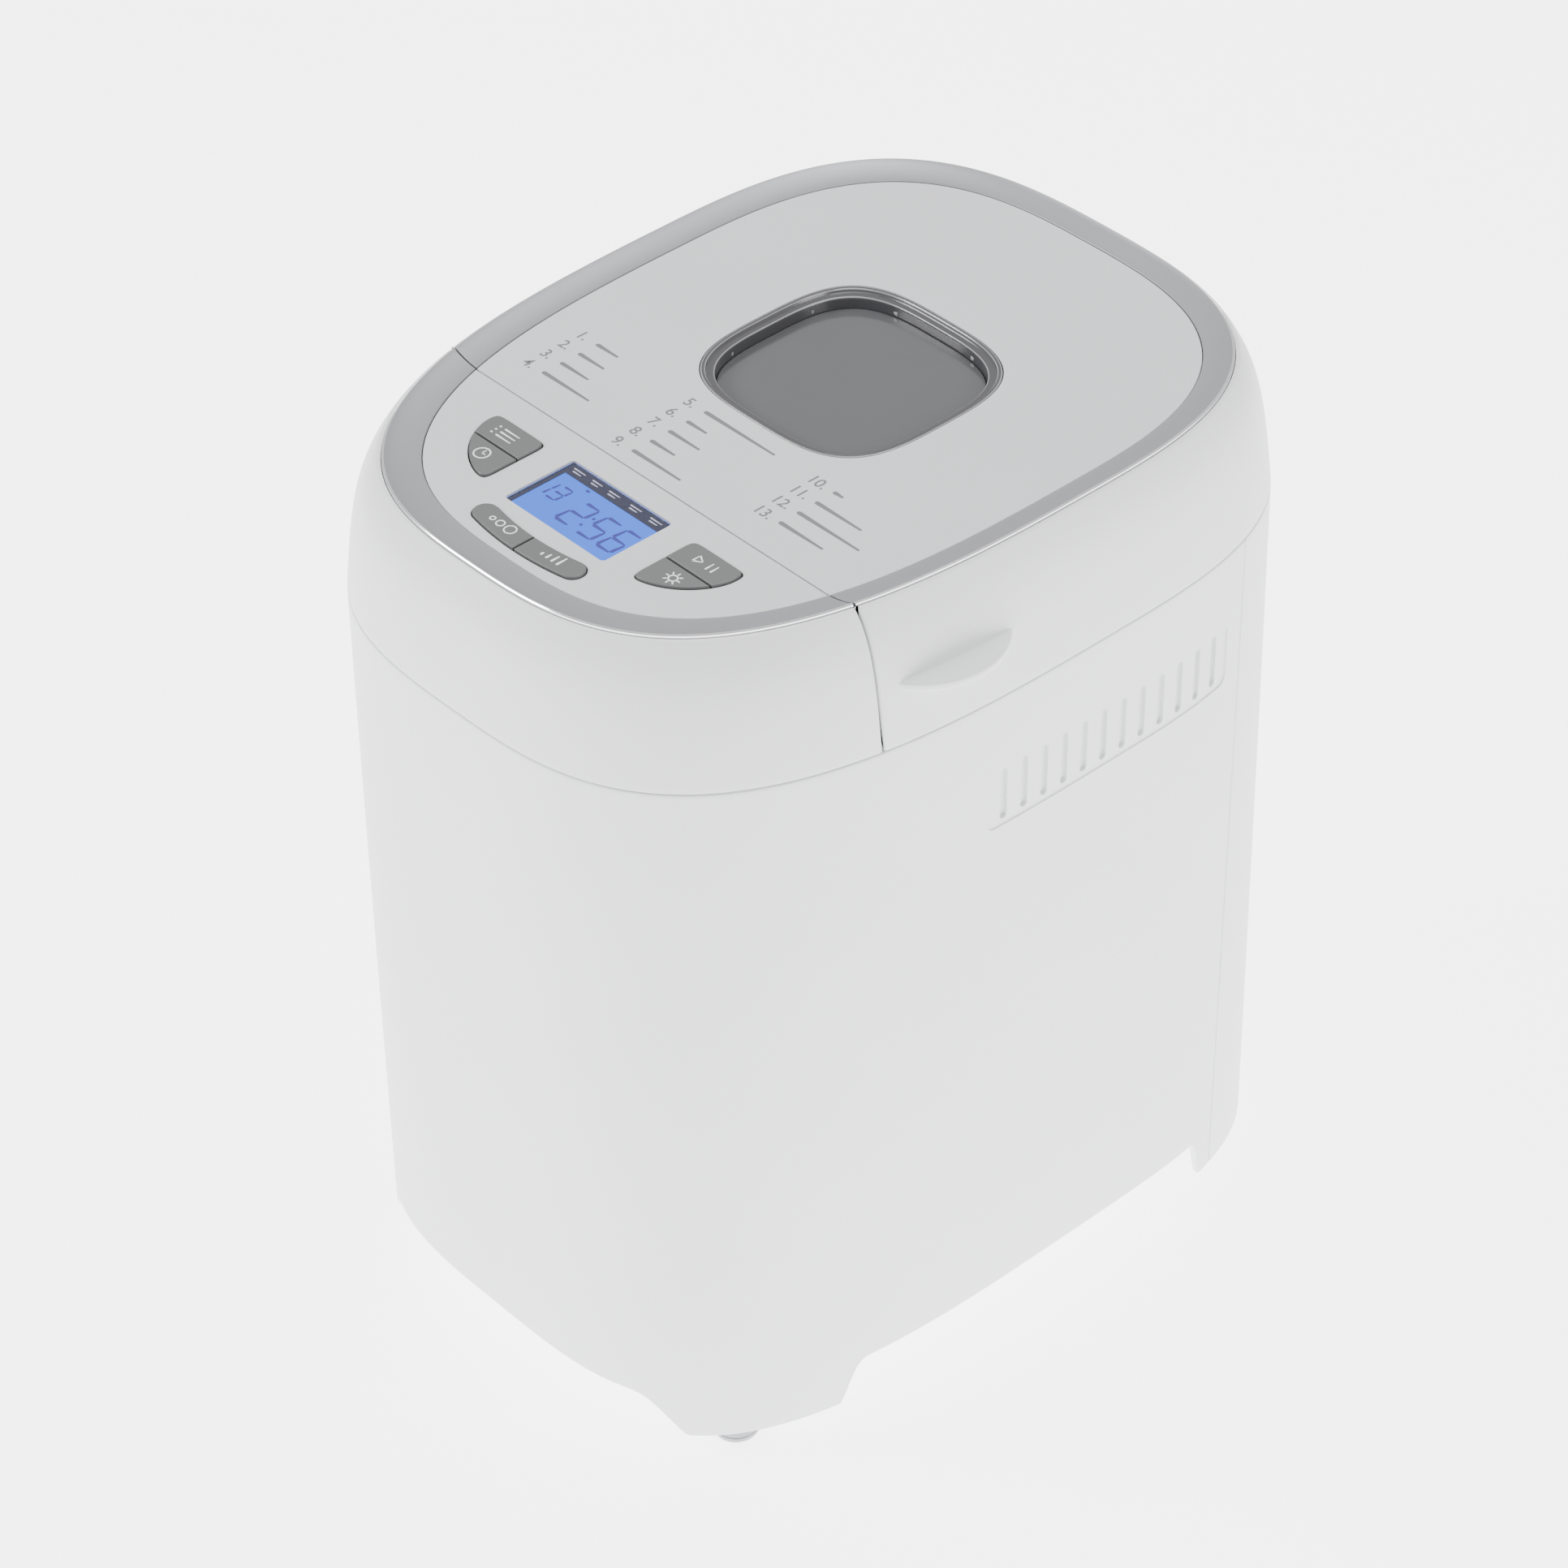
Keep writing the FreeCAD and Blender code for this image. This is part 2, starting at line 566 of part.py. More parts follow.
def arches():
    """The four arches that leave a skirt at each corner."""
    upright = FreeCAD.Rotation(FreeCAD.Vector(1, 0, 0), 90)
    sideways = FreeCAD.Rotation(FreeCAD.Vector(0, 0, 1), 90).multiply(upright)
    front = arch_profile(-val("front_arch_foot"), val("front_arch_foot"),
                         -val("front_arch_top"), val("front_arch_top"))
    rear = arch_profile(-val("rear_arch_foot"), val("rear_arch_foot"),
                        -val("rear_arch_top"), val("rear_arch_top"))
    side_a, side_b = front_end + val("side_arch_front"), rear_end - val("side_arch_rear")
    side = arch_profile(side_a, side_b, side_a + val("side_arch_rise"), side_b - val("side_arch_rise") / 2)
    front.Placement = FreeCAD.Placement(FreeCAD.Vector(0, front_end + val("foot_front"), 0), upright)
    rear.Placement = FreeCAD.Placement(FreeCAD.Vector(0, FAR, 0), upright)
    side.Placement = FreeCAD.Placement(FreeCAD.Vector(-FAR, 0, 0), sideways)
    along_y = rear_end - val("foot_rear")
    return [front.extrude(FreeCAD.Vector(0, -FAR, 0)), rear.extrude(FreeCAD.Vector(0, along_y - FAR, 0)),
            side.extrude(FreeCAD.Vector(2 * FAR, 0, 0))]


def slot_shape(y, z0, z1, wide, x0, x1):
    """A slot with round ends through a side wall."""
    radius = wide / 2
    bar = slab(x0, x1, y - radius, y + radius, z0 + radius, z1 - radius)
    ends = [Part.makeCylinder(radius, x1 - x0, FreeCAD.Vector(x0, y, z), FreeCAD.Vector(1, 0, 0))
            for z in (z0 + radius, z1 - radius)]
    return bar.fuse(ends)


def vent_tools():
    """Cutters for the shallow frame and the row of slots on both sides of the housing."""
    low, high = vent_z, vent_z + val("vent_tall")
    shallow, deep = val("vent_sink"), val("slot_sink")
    frame = slab(-FAR, FAR, val("vent_front"), vent_end, low, high)
    edges = [e for e in frame.Edges if abs(e.Vertexes[0].X - e.Vertexes[1].X) > FAR]
    frame = frame.makeFillet(val("vent_corner"), edges)
    skin = casing_solid(low - EPS, high + EPS, shallow)
    core = casing_solid(low - EPS, high + EPS, deep)
    first, step = vent_row()
    margin = val("vent_margin")
    slots = [slot_shape(first + step * k, low + margin, high - margin, val("vent_slot"), -FAR, FAR)
             for k in range(int(val("vent_count")))]
    return [frame.cut(skin), slots[0].fuse(slots[1:]).cut(core)]


def vent_row():
    """Place of the first slot and the step from slot to slot."""
    inset = val("vent_margin") + 1.6 * val("vent_slot")
    step = (val("vent_long") - 2 * inset) / (val("vent_count") - 1)
    return val("vent_front") + inset, step


casing = casing_solid(skirt_z, seam_z).cut(casing_solid(skirt_z - EPS, seam_z + EPS, wall))
for tool in arches():
    casing = casing.cut(tool)
gap = val("joint_gap") / 2
housing_shape = casing.common(slab(-FAR, FAR, -FAR, rear_joint_y - gap, 0, FAR))
for tool in vent_tools():
    housing_shape = housing_shape.cut(tool)
keep(feature("housing", housing_shape), "housing")

# The rear cover closes the back, with a lip that laps behind the housing wall, and carries hinge knuckles.
cover = casing.common(slab(-FAR, FAR, rear_joint_y + gap, FAR, 0, FAR))
lip_low, lip_high = bottom_z + val("lap_foot"), deck_z - val("deck_thick") - EPS
lip_out, lip_in, lap = wall + val("lap_fit"), 1.9 * wall, val("lap_depth")
lip = casing_solid(lip_low, lip_high, lip_out).cut(casing_solid(lip_low - EPS, lip_high + EPS, lip_in))
lip = lip.common(slab(-FAR, FAR, rear_joint_y - lap, rear_joint_y + lap, 0, FAR))
bridge = casing_solid(lip_low, lip_high, 0.8 * wall).cut(casing_solid(lip_low - EPS, lip_high + EPS, 1.2 * wall))
bridge = bridge.common(slab(-FAR, FAR, rear_joint_y + gap, rear_joint_y + lap, 0, FAR))
cover = cover.fuse([lip, bridge])
louvre_z, louvre_half = deck_z - val("louvre_below"), val("louvre_wide") / 2
louvres = []
for k in range(int(val("louvre_count"))):
    x = val("louvre_pitch") * (k - (val("louvre_count") - 1) / 2)
    louvres.append(slab(x - louvre_half, x + louvre_half, rear_end - 5 * wall, FAR, louvre_z,
                        louvre_z + val("louvre_tall")))
cover = cover.cut(louvres)

hinge_y, hinge_z = rear_end + val("hinge_back"), seam_z - val("hinge_below")
knuckle, axle = val("knuckle_radius"), val("pin_radius") + val("running")


def knuckle_shape(x0, x1, rise):
    """A hinge knuckle: barrel and web, running to the wall below (rise < 0) or above the seam."""
    along = FreeCAD.Vector(1, 0, 0)
    barrel = Part.makeCylinder(knuckle, x1 - x0, FreeCAD.Vector(x0, hinge_y, hinge_z), along)
    web_front = rear_end - 3.3 * knuckle
    if rise < 0:
        web = slab(x0, x1, web_front, hinge_y, hinge_z - knuckle, hinge_z - 0.2 * knuckle)
    else:
        web = slab(x0, x1, web_front, hinge_y + knuckle, seam_z + val("seam_gap"), seam_z + 1.5 * knuckle)
        web = web.fuse(slab(x0, x1, hinge_y, hinge_y + knuckle, hinge_z, seam_z + knuckle))
    return barrel.fuse(web)


def hinge_bore():
    along = FreeCAD.Vector(1, 0, 0)
    return Part.makeCylinder(axle, 2 * FAR, FreeCAD.Vector(-FAR, hinge_y, hinge_z), along)


inside = casing_solid(skirt_z - EPS, seam_z + 8 * EPS, wall * 0.6)
for side in (-1, 1):
    middle = side * val("knuckle_x")
    barrel = knuckle_shape(middle - val("knuckle_half"), middle + val("knuckle_half"), -1)
    cover = cover.fuse(barrel.cut(inside))
cover = cover.cut(hinge_bore())
forward = FreeCAD.Vector(0, 1, 0)
gland_out, gland_fit = val("gland_bore") + 2.0, 0.2
gland_from = FreeCAD.Vector(val("gland_x"), rear_end - 40, val("gland_height"))
cover = cover.cut(Part.makeCylinder(gland_out + gland_fit, FAR, gland_from, forward))
keep(feature("rear_cover", cover), "rear_cover")

# Base plate: a flat floor with a hollow post over each rubber foot.
FEET = [(sx, sy) for sx in (-1, 1) for sy in (-1, 1)]
feet_y = {-1: front_end + val("foot_front"), 1: rear_end - val("foot_rear")}
drive_y = ((split_y + val("chamber_front")) + (rear_end - val("chamber_rear"))) / 2
posts_at = [(sx * val("post_x"), drive_y + (val("post_rear") if sy > 0 else -val("post_front")))
            for sx, sy in FEET]
base_low = bottom_z + val("base_rise")
base = prism(casing_loop(base_low, wall + 0.3), val("base_thick"))
for sx, sy in FEET:
    at = FreeCAD.Vector(sx * val("foot_x"), feet_y[sy], val("foot_tall"))
    base = base.fuse(Part.makeCylinder(val("foot_radius"), base_low - val("foot_tall") + EPS, at))
for x, y in posts_at:
    hole = val("screw_radius") + val("screw_fit")
    base = base.cut(Part.makeCylinder(hole, FAR, FreeCAD.Vector(x, y, 0)))
slot_x, slot_half = val("base_slot_half"), val("base_slot_wide") / 2
for k in range(int(val("base_slot_count"))):
    y = drive_y + val("base_slot_pitch") * (k - (val("base_slot_count") - 1) / 2)
    base = base.cut(slab(-slot_x, slot_x, y - slot_half, y + slot_half, 0, FAR))
keep(feature("base_plate", base), "base_plate")

rubber = []
for sx, sy in FEET:
    foot = doc.addObject("Part::Cone", "rubber_foot")
    bind(foot, Radius1="foot_radius-0.8", Radius2="foot_radius", Height="foot_tall-0.01")
    foot.Placement.Base = FreeCAD.Vector(sx * val("foot_x"), feet_y[sy], 0)
    rubber.append(foot)
keep(group("rubber_feet", rubber), "rubber_feet")

# ---------------------------------------------------------------- top housing, trim and panels

half_gap = val("split_gap") / 2
control_shell = top_shell(-FAR, split_y - half_gap, False)
collar_low = seam_z - 1.5 * wall
collar = casing_solid(collar_low, seam_z + 2 * EPS, wall + val("lap_fit")).cut(
    casing_solid(collar_low - EPS, seam_z + 3 * EPS, 1.8 * wall))
collar = collar.common(slab(-FAR, FAR, -FAR, split_y - half_gap, 0, FAR))
collar_tie = shoulder_solid(seam_z + val("seam_gap"), seam_z + wall, wall * 0.5).cut(
    shoulder_solid(seam_z - EPS, seam_z + 2 * wall, 1.8 * wall))
collar_tie = collar_tie.common(slab(-FAR, FAR, -FAR, split_y - half_gap, 0, FAR))
control_housing = keep(feature("control_housing", control_shell.fuse([collar, collar_tie])), "control_housing")

ring = ring_solid()
keep(feature("control_trim", front_half(ring)), "control_trim")
keep(feature("lid_trim", rear_half(ring)), "lid_trim")

panel = panel_solid()
around = val("panel_gap")
window_hole = loop(val("window_half") + around, val("window_half_long") + around, val("window_half_long") + around,
                   val("window_power"), ledge_z - EPS, val("window_y"))
keep(feature("lid_panel", rear_half(panel).cut(prism(window_hole, FAR))), "lid_panel")

# ---------------------------------------------------------------- controls

display_y1 = split_y - val("display_back")
display_y0 = display_y1 - val("display_long")
button_z, key_low = panel_z + val("button_proud"), panel_z - val("key_depth")
board_z = panel_z - val("board_depth")
board_top = board_z + val("board_thick")
bar_middle = split_y - val("bar_back")


def key_pair(grow=0.0):
    """Both round keys of the right-hand side as one outline, grown by a clearance, below the button tops."""
    block = slab(val("key_inner") - grow, val("key_outer") + grow, split_y - val("bar_back"),
                 split_y - val("key_back") + grow, key_low, button_z)
    middle = FreeCAD.Vector(val("key_round_x"), split_y - val("key_round_back"), key_low)
    made = block.common(Part.makeCylinder(val("key_round") + grow, button_z - key_low, middle))
    return soften(made, val("key_corner"))


def soften(shape, radius):
    """Round the upright edges of a prism."""
    upright = [e for e in shape.Edges if len(e.Vertexes) == 2
               and abs(e.Vertexes[0].X - e.Vertexes[1].X) < 1e-6 and abs(e.Vertexes[0].Y - e.Vertexes[1].Y) < 1e-6]
    return shape.makeFillet(radius, upright)


def bar_pair(grow=0.0):
    """Both bar keys as one bent bar with round ends."""
    bend, half = val("bar_bend"), val("bar_half")
    middle = FreeCAD.Vector(0, bar_middle + bend, key_low)
    height = button_z - key_low
    radius = val("bar_radius") + grow
    arc = Part.makeCylinder(bend + radius, height, middle).cut(Part.makeCylinder(bend - radius, height, middle))
    reach = (bend ** 2 - half ** 2) ** 0.5
    wedge = Part.Face(Part.makePolygon([middle, middle + FreeCAD.Vector(-2 * half, -2 * reach, 0),
                                        middle + FreeCAD.Vector(2 * half, -2 * reach, 0), middle]))
    made = arc.common(wedge.extrude(FreeCAD.Vector(0, 0, height)))
    for side in (-1, 1):
        end = middle + FreeCAD.Vector(side * half, -reach, 0)
        made = made.fuse(Part.makeCylinder(radius, height, end))
    return made.removeSplitter()


def stem(x, y):
    """Peg below a key that reaches down to its switch."""
    low = board_top + val("switch_tall") + val("button_travel") + val("press_gap")
    return Part.makeCylinder(val("stem_radius"), key_low - low + EPS, FreeCAD.Vector(x, y, low))


def mirrored(shape):
    return shape.mirror(FreeCAD.Vector(), FreeCAD.Vector(1, 0, 0))


joint = val("key_joint") / 2
key_joint_y = split_y - val("key_split")
back_half = slab(-FAR, FAR, key_joint_y + joint, FAR, 0, FAR)
fore_half = slab(-FAR, FAR, -FAR, key_joint_y - joint, 0, FAR)
left_half, right_half = slab(-FAR, -joint, -FAR, FAR, 0, FAR), slab(joint, FAR, -FAR, FAR, 0, FAR)
key_x = (val("key_inner") + val("key_outer")) / 2
switch_places = {
    "menu_button": (-key_x, key_joint_y + 5.5), "time_button": (-key_x + 2.5, key_joint_y - 5.5),
    "start_button": (key_x, key_joint_y + 5.5), "setting_button": (key_x - 2.5, key_joint_y - 5.5),
    "size_button": (-12.0, bar_middle + 0.7), "browning_button": (12.0, bar_middle + 0.7)}
halves = {"menu_button": (mirrored(key_pair()), back_half), "time_button": (mirrored(key_pair()), fore_half),
          "start_button": (key_pair(), back_half), "setting_button": (key_pair(), fore_half),
          "size_button": (bar_pair(), left_half), "browning_button": (bar_pair(), right_half)}
for name, (pair, half) in halves.items():
    cap = pair.common(half)
    tops = [e for e in cap.Edges if min(v.Z for v in e.Vertexes) > button_z - 1e-3]
    cap = cap.makeFillet(val("key_edge"), tops).fuse(stem(*switch_places[name]))
    keep(feature(name, cap), name)

clear = val("button_gap")
panel_holes = [key_pair(clear), mirrored(key_pair(clear)), bar_pair(clear)]
lens_hole = soften(slab(-val("display_half"), val("display_half"), display_y0, display_y1, key_low, button_z),
                   val("display_corner"))
control_panel_shape = front_half(panel)
for hole in panel_holes + [lens_hole]:
    control_panel_shape = control_panel_shape.cut(hole)
keep(feature("control_panel", control_panel_shape), "control_panel")

lens = box("lens_block", "-display_half+lens_fit", "display_half-lens_fit", "0", "display_long-2*lens_fit",
           "0", "lens_thick")
lens_round = rounded("display_lens", lens, val("display_corner"))
lens_z = panel_z - val("lens_sink") - val("lens_thick")
lens_round.Placement.Base = FreeCAD.Vector(0, display_y0 + val("lens_fit"), lens_z)
keep(lens_round, "display_lens")
lcd = box("lcd_block", "-display_half-module_over", "display_half+module_over", "0", "display_long+1.5*module_over",
          "0", "module_thick")
lcd_round = rounded("lcd_module", lcd, val("display_corner"))
lcd_y = display_y0 - 0.75 * val("module_over")
lcd_round.Placement.Base = FreeCAD.Vector(0, lcd_y, ledge_z - val("module_thick") - val("lens_fit"))
keep(lcd_round, "lcd_module")

board = slab(-val("board_half"), val("board_half"), bar_middle - 7, split_y - 7, board_z, board_top)
board_area = shoulder_solid(board_z - EPS, board_top + EPS, 3 * wall)
keep(feature("control_board", board.common(board_area)), "control_board")
switches, half = [], val("switch_half")
for x, y in switch_places.values():
    body = slab(x - half, x + half, y - half, y + half, board_top, board_top + 0.8 * val("switch_tall"))
    plunger = Part.makeCylinder(val("switch_stem"), val("switch_tall"), FreeCAD.Vector(x, y, board_top))
    switches.append(body.fuse(plunger))
keep(feature("tact_switches", Part.makeCompound(switches)), "tact_switches")

# Four pegs carry the control board below the control panel.
pegs = []
for side in (-1, 1):
    for y in (split_y - 11, bar_middle + val("bar_radius")):
        at = FreeCAD.Vector(side * val("peg_x"), y, board_top)
        pegs.append(Part.makeCylinder(val("peg_radius"), ledge_z - board_top, at))
keep(feature("board_pegs", Part.makeCompound(pegs)), "board_pegs")

# ---------------------------------------------------------------- lid

grips = []
for side in (-1, 1):
    sizes, power = shoulder_sizes(top_z - val("grip_depth"))
    reach = (widest_y - val("grip_y")) / sizes[1]
    wall_x = sizes[0] * (1 - reach ** power) ** (1 / power)
    chord, out = val("grip_chord") / 2, val("grip_out")
    radius = (chord ** 2 + out ** 2) / (2 * out)
    low = top_z - val("grip_depth") - val("grip_thick")
    at = FreeCAD.Vector(side * (wall_x + out - radius), val("grip_y"), low)
    disc = Part.makeCylinder(radius, val("grip_thick"), at)
    disc = disc.makeFillet(val("grip_round"), [e for e in disc.Edges if len(e.Vertexes) == 1])
    grips.append(disc.cut(shoulder_solid(low - EPS, low + 2 * val("grip_thick"), wall * 0.6)))
lid_shape = top_shell(split_y + half_gap, FAR, True).fuse(grips)
for side in (-1, 1):
    middle, inner = side * val("knuckle_x"), val("knuckle_half") + val("knuckle_gap")
    for start in (middle - inner - val("ear_long"), middle + inner):
        ear = knuckle_shape(start, start + val("ear_long"), 1)
        lid_shape = lid_shape.fuse(ear.cut(shoulder_solid(seam_z, seam_z + 20, wall * 0.6)))
lid_shape = lid_shape.cut(hinge_bore())
keep(feature("lid_shell", lid_shape), "lid_shell")

pins = []
for side in (-1, 1):
    long = 2 * (val("knuckle_half") + val("knuckle_gap") + val("ear_long"))
    pin = lying_cylinder("hinge_pin", "pin_radius", side * val("knuckle_x") - long / 2, long, hinge_y, hinge_z)
    pins.append(pin)
keep(group("hinge_pins", pins), "hinge_pins")


def window_prism(grow, low, high):
    return prism(loop(val("window_half") + grow, val("window_half_long") + grow, val("window_half_long") + grow,
                      val("window_power"), low, val("window_y")), high - low)


frame_wall, step = val("frame_wall"), val("frame_step")
glass_top = panel_z - val("glass_sink")
liner_top = deck_z + val("liner_rise")
inner_glass_low = liner_top + 0.1
frame_low = inner_glass_low + val("glass_thick") + 0.1
window_frame = window_prism(0, frame_low, panel_z - 0.1)
window_frame = window_frame.cut(window_prism(-frame_wall, glass_top - val("glass_thick"), top_z))
window_frame = window_frame.cut(window_prism(-frame_wall - step, frame_low - EPS, top_z))
keep(feature("window_frame", window_frame), "window_frame")
keep(feature("window_glass", window_prism(-frame_wall - 0.15, glass_top - val("glass_thick") + 0.05, glass_top)),
     "window_glass")
keep(feature("inner_glass", window_prism(0, inner_glass_low, inner_glass_low + val("glass_thick"))), "inner_glass")

chamber_y0 = split_y + val("chamber_front")
chamber_y1 = rear_end - val("chamber_rear")
chamber_half = half_width - val("chamber_side")
steel = val("steel")


def tub(grow, low, high):
    """Upright block with the chamber's plan, grown all round."""
    block = slab(-chamber_half - grow, chamber_half + grow, chamber_y0 - grow, chamber_y1 + grow, low, high)
    return soften(block, val("chamber_round") + grow)


flange_top = deck_z + steel
liner_low = flange_top + val("liner_gap")
over = val("liner_over")
liner = tub(over, liner_low, liner_top).cut(tub(over - steel, liner_low - EPS, liner_top - steel))
liner = liner.cut(window_prism(-frame_wall - step, liner_top - 5, liner_top + 5))

# Posts under the lid panel hold the liner, each with a screw up through the liner's roof.
post_top, thread = ledge_z + val("ring_seat") / 3, val("screw_radius") + val("thread_fit")
lid_posts, lid_screws = [], []
for side in (-1, 1):
    for y in (chamber_y0 + val("lid_post_front"), chamber_y1 - val("lid_post_rear")):
        x = side * (inner_trim[0] - val("lid_post_in"))
        at = FreeCAD.Vector(x, y, liner_top)
        under = at - FreeCAD.Vector(0, 0, steel)
        post = Part.makeCylinder(val("lid_post_radius"), post_top - liner_top, at)
        lid_posts.append(post.cut(Part.makeCylinder(thread, val("lid_post_bore"), at)))
        shank = Part.makeCylinder(val("screw_radius"), val("screw_bite"), under)
        head = Part.makeCylinder(val("screw_head"), val("head_tall"), under - FreeCAD.Vector(0, 0, val("head_tall")))
        lid_screws.append(shank.fuse(head))
        liner = liner.cut(Part.makeCylinder(thread, 3 * steel, under - FreeCAD.Vector(0, 0, steel)))
keep(feature("lid_liner", liner), "lid_liner")
keep(feature("lid_posts", Part.makeCompound(lid_posts)), "lid_posts")
keep(feature("lid_screws", Part.makeCompound(lid_screws)), "lid_screws")

# ---------------------------------------------------------------- chamber

floor_z = val("chamber_floor")
floor_top = floor_z + steel
deck = prism(casing_loop(deck_z - val("deck_thick"), wall + 0.35), val("deck_thick"))
deck = deck.cut(tub(0.3, deck_z - 9, deck_z + 9))
deck = deck.common(slab(-FAR, FAR, split_y - 2, FAR, 0, FAR))
keep(feature("top_deck", deck), "top_deck")

chamber = tub(0, floor_z, flange_top).cut(tub(-steel, floor_top, flange_top + EPS))
flange = tub(val("chamber_lip"), deck_z, flange_top).cut(tub(-steel, deck_z - EPS, flange_top + EPS))
chamber = chamber.fuse(flange)
element_z = floor_top + val("element_rise")
element_half = (chamber_half - steel + chamber_half - steel - val("pan_side_gap")) / 2
element_y0 = chamber_y0 + steel + val("pan_end_gap") / 2
element_y1 = chamber_y1 - steel - val("pan_end_gap") / 2
lead_x, tube = val("element_lead"), val("element_radius")
for x in (-lead_x, lead_x):
    chamber = chamber.cut(Part.makeCylinder(tube + 0.4, 10, FreeCAD.Vector(x, chamber_y0 - 5, element_z), forward))
sensor_z = (floor_z + deck_z) / 2
sensor_hole = Part.makeCylinder(val("sensor_radius") + 0.1, 10, FreeCAD.Vector(0, chamber_y0 - 5, sensor_z), forward)
shaft_hole = Part.makeCylinder(val("bush_radius") + 1.5, 10, FreeCAD.Vector(0, drive_y, floor_z - 5))
chamber = chamber.cut([sensor_hole, shaft_hole])
keep(feature("chamber", chamber), "chamber")


def bent_tube(points, bends, radius):
    """A round tube along straight runs joined by tangent arcs, one bend radius for each corner."""
    path, last = [], points[0]
    for before, corner, after, bend in zip(points, points[1:], points[2:], bends):
        into, out = (corner - before).normalize(), (after - corner).normalize()
        start, end = corner - into * bend, corner + out * bend
        middle = corner + (out - into).normalize() * (bend * (2 ** 0.5 - 1))
        path += [Part.makeLine(last, start), Part.Arc(start, middle, end).toShape()]
        last = end
    path.append(Part.makeLine(last, points[-1]))
    spine = Part.Wire(path)
    section = Part.Wire([Part.makeCircle(radius, points[0], (points[1] - points[0]).normalize())])
    return spine.makePipeShell([section], True, False)


def level(x, y):
    return FreeCAD.Vector(x, y, element_z)


bend, lead_bend, lead_out = val("element_bend"), 2 * tube, chamber_y0 - val("element_out")
heater_path = [level(-lead_x, lead_out), level(-lead_x, element_y0), level(-element_half, element_y0),
               level(-element_half, element_y1), level(element_half, element_y1),
               level(element_half, element_y0), level(lead_x, element_y0), level(lead_x, lead_out)]
heater = bent_tube(heater_path, [lead_bend, bend, bend, bend, bend, lead_bend], tube)
keep(feature("heating_element", heater), "heating_element")

inner_half = chamber_half - steel
clips, clip_half = [], val("clip_half")
for side in (-1, 1):
    for y in (drive_y - val("clip_y"), drive_y + val("clip_y")):
        x0, x1 = sorted((side * inner_half, side * (element_half - tube - 1)))
        x2, x3 = sorted((side * (element_half - tube - 1), side * (element_half - tube)))
        shelf = slab(x0, x1, y - clip_half, y + clip_half, element_z - tube - 1, element_z - tube)
        clips.append(shelf.fuse(slab(x2, x3, y - clip_half, y + clip_half, element_z - tube - 1, element_z)))
keep(feature("element_clips", Part.makeCompound(clips)), "element_clips")
terminals = []
for x in (-lead_x, lead_x):
    collar_at = FreeCAD.Vector(x, chamber_y0 - 2.5, element_z)
    washer = Part.makeCylinder(tube + 3, 2.4, collar_at, forward)
    terminals.append(washer.cut(Part.makeCylinder(tube + val("running"), 5, collar_at - forward, forward)))
    pin_at = FreeCAD.Vector(x, lead_out - 5, element_z)
    terminals.append(Part.makeCylinder(1.3, 5, pin_at, forward))
keep(feature("element_terminals", Part.makeCompound(terminals)), "element_terminals")

sensor_from = FreeCAD.Vector(0, chamber_y0 - 9, sensor_z)
sensor = Part.makeCylinder(val("sensor_radius"), val("sensor_long"), sensor_from, forward)
sensor_seat = FreeCAD.Vector(0, chamber_y0 - 2.5, sensor_z)
sensor = sensor.fuse(Part.makeCylinder(val("sensor_flange"), 2.4, sensor_seat, forward))
keep(feature("temperature_sensor", sensor), "temperature_sensor")
fuse_x0, fuse_x1 = val("fuse_x0"), val("fuse_x1")
fuse_block = slab(fuse_x0, fuse_x1, chamber_y0 - 4.5, chamber_y0 - 0.1, sensor_z - 5, sensor_z + 5)
fuse_at = FreeCAD.Vector(fuse_x0 + 4, chamber_y0 - 4.5 - val("fuse_radius"), sensor_z)
fuse_body = Part.makeCylinder(val("fuse_radius"), fuse_x1 - fuse_x0 - 8, fuse_at, FreeCAD.Vector(1, 0, 0))
keep(feature("thermal_fuse", fuse_block.fuse(fuse_body)), "thermal_fuse")

# ---------------------------------------------------------------- bread pan, handle and paddle

pan_half = inner_half - val("pan_side_gap")
pan_y0, pan_y1 = chamber_y0 + steel + val("pan_end_gap"), chamber_y1 - steel - val("pan_end_gap")
pan_bottom, rim_z = floor_top + val("pan_floor_rise"), deck_z - val("pan_drop")
pan_wall, rim = val("pan_wall"), val("pan_rim")
ring_low, ring_radius = floor_top + val("pan_ring_rise"), val("pan_ring")
axis_point = FreeCAD.Vector(0, drive_y, 0)


def pan_block(grow, low, high):
    block = slab(-pan_half - grow, pan_half + grow, pan_y0 - grow, pan_y1 + grow, low, high)
    return soften(block, val("pan_round") + grow)


def upright_cylinder(radius, low, high, x=0.0, y=None):
    return Part.makeCylinder(radius, high - low, FreeCAD.Vector(x, drive_y if y is None else y, low))


pivot_z = rim_z + val("pivot_rise")
bail, hole = val("bail_radius"), val("pivot_radius") + val("running")
pan = pan_block(0, pan_bottom, rim_z)
base_edges = [e for e in pan.Edges if e.BoundBox.ZMax < pan_bottom + 1e-3]
pan = pan.makeFillet(val("pan_foot_round"), base_edges)
core = pan_block(-pan_wall, pan_bottom + pan_wall, rim_z + EPS)
core_edges = [e for e in core.Edges if e.BoundBox.ZMax < pan_bottom + pan_wall + 1e-3]
pan = pan.cut(core.makeFillet(val("pan_foot_round") - pan_wall, core_edges))
rolled = pan_block(rim, rim_z - val("rim_tall"), rim_z).cut(pan_block(-pan_wall, rim_z - 9, rim_z + 9))
rim_edges = [e for e in rolled.Edges if e.BoundBox.ZLength < 1e-6
             and (e.BoundBox.YMin < pan_y0 - 1 or e.BoundBox.YMax > pan_y1 + 1)]
rolled = rolled.makeFillet(0.45 * val("rim_tall"), rim_edges)
pan = pan.fuse(rolled)
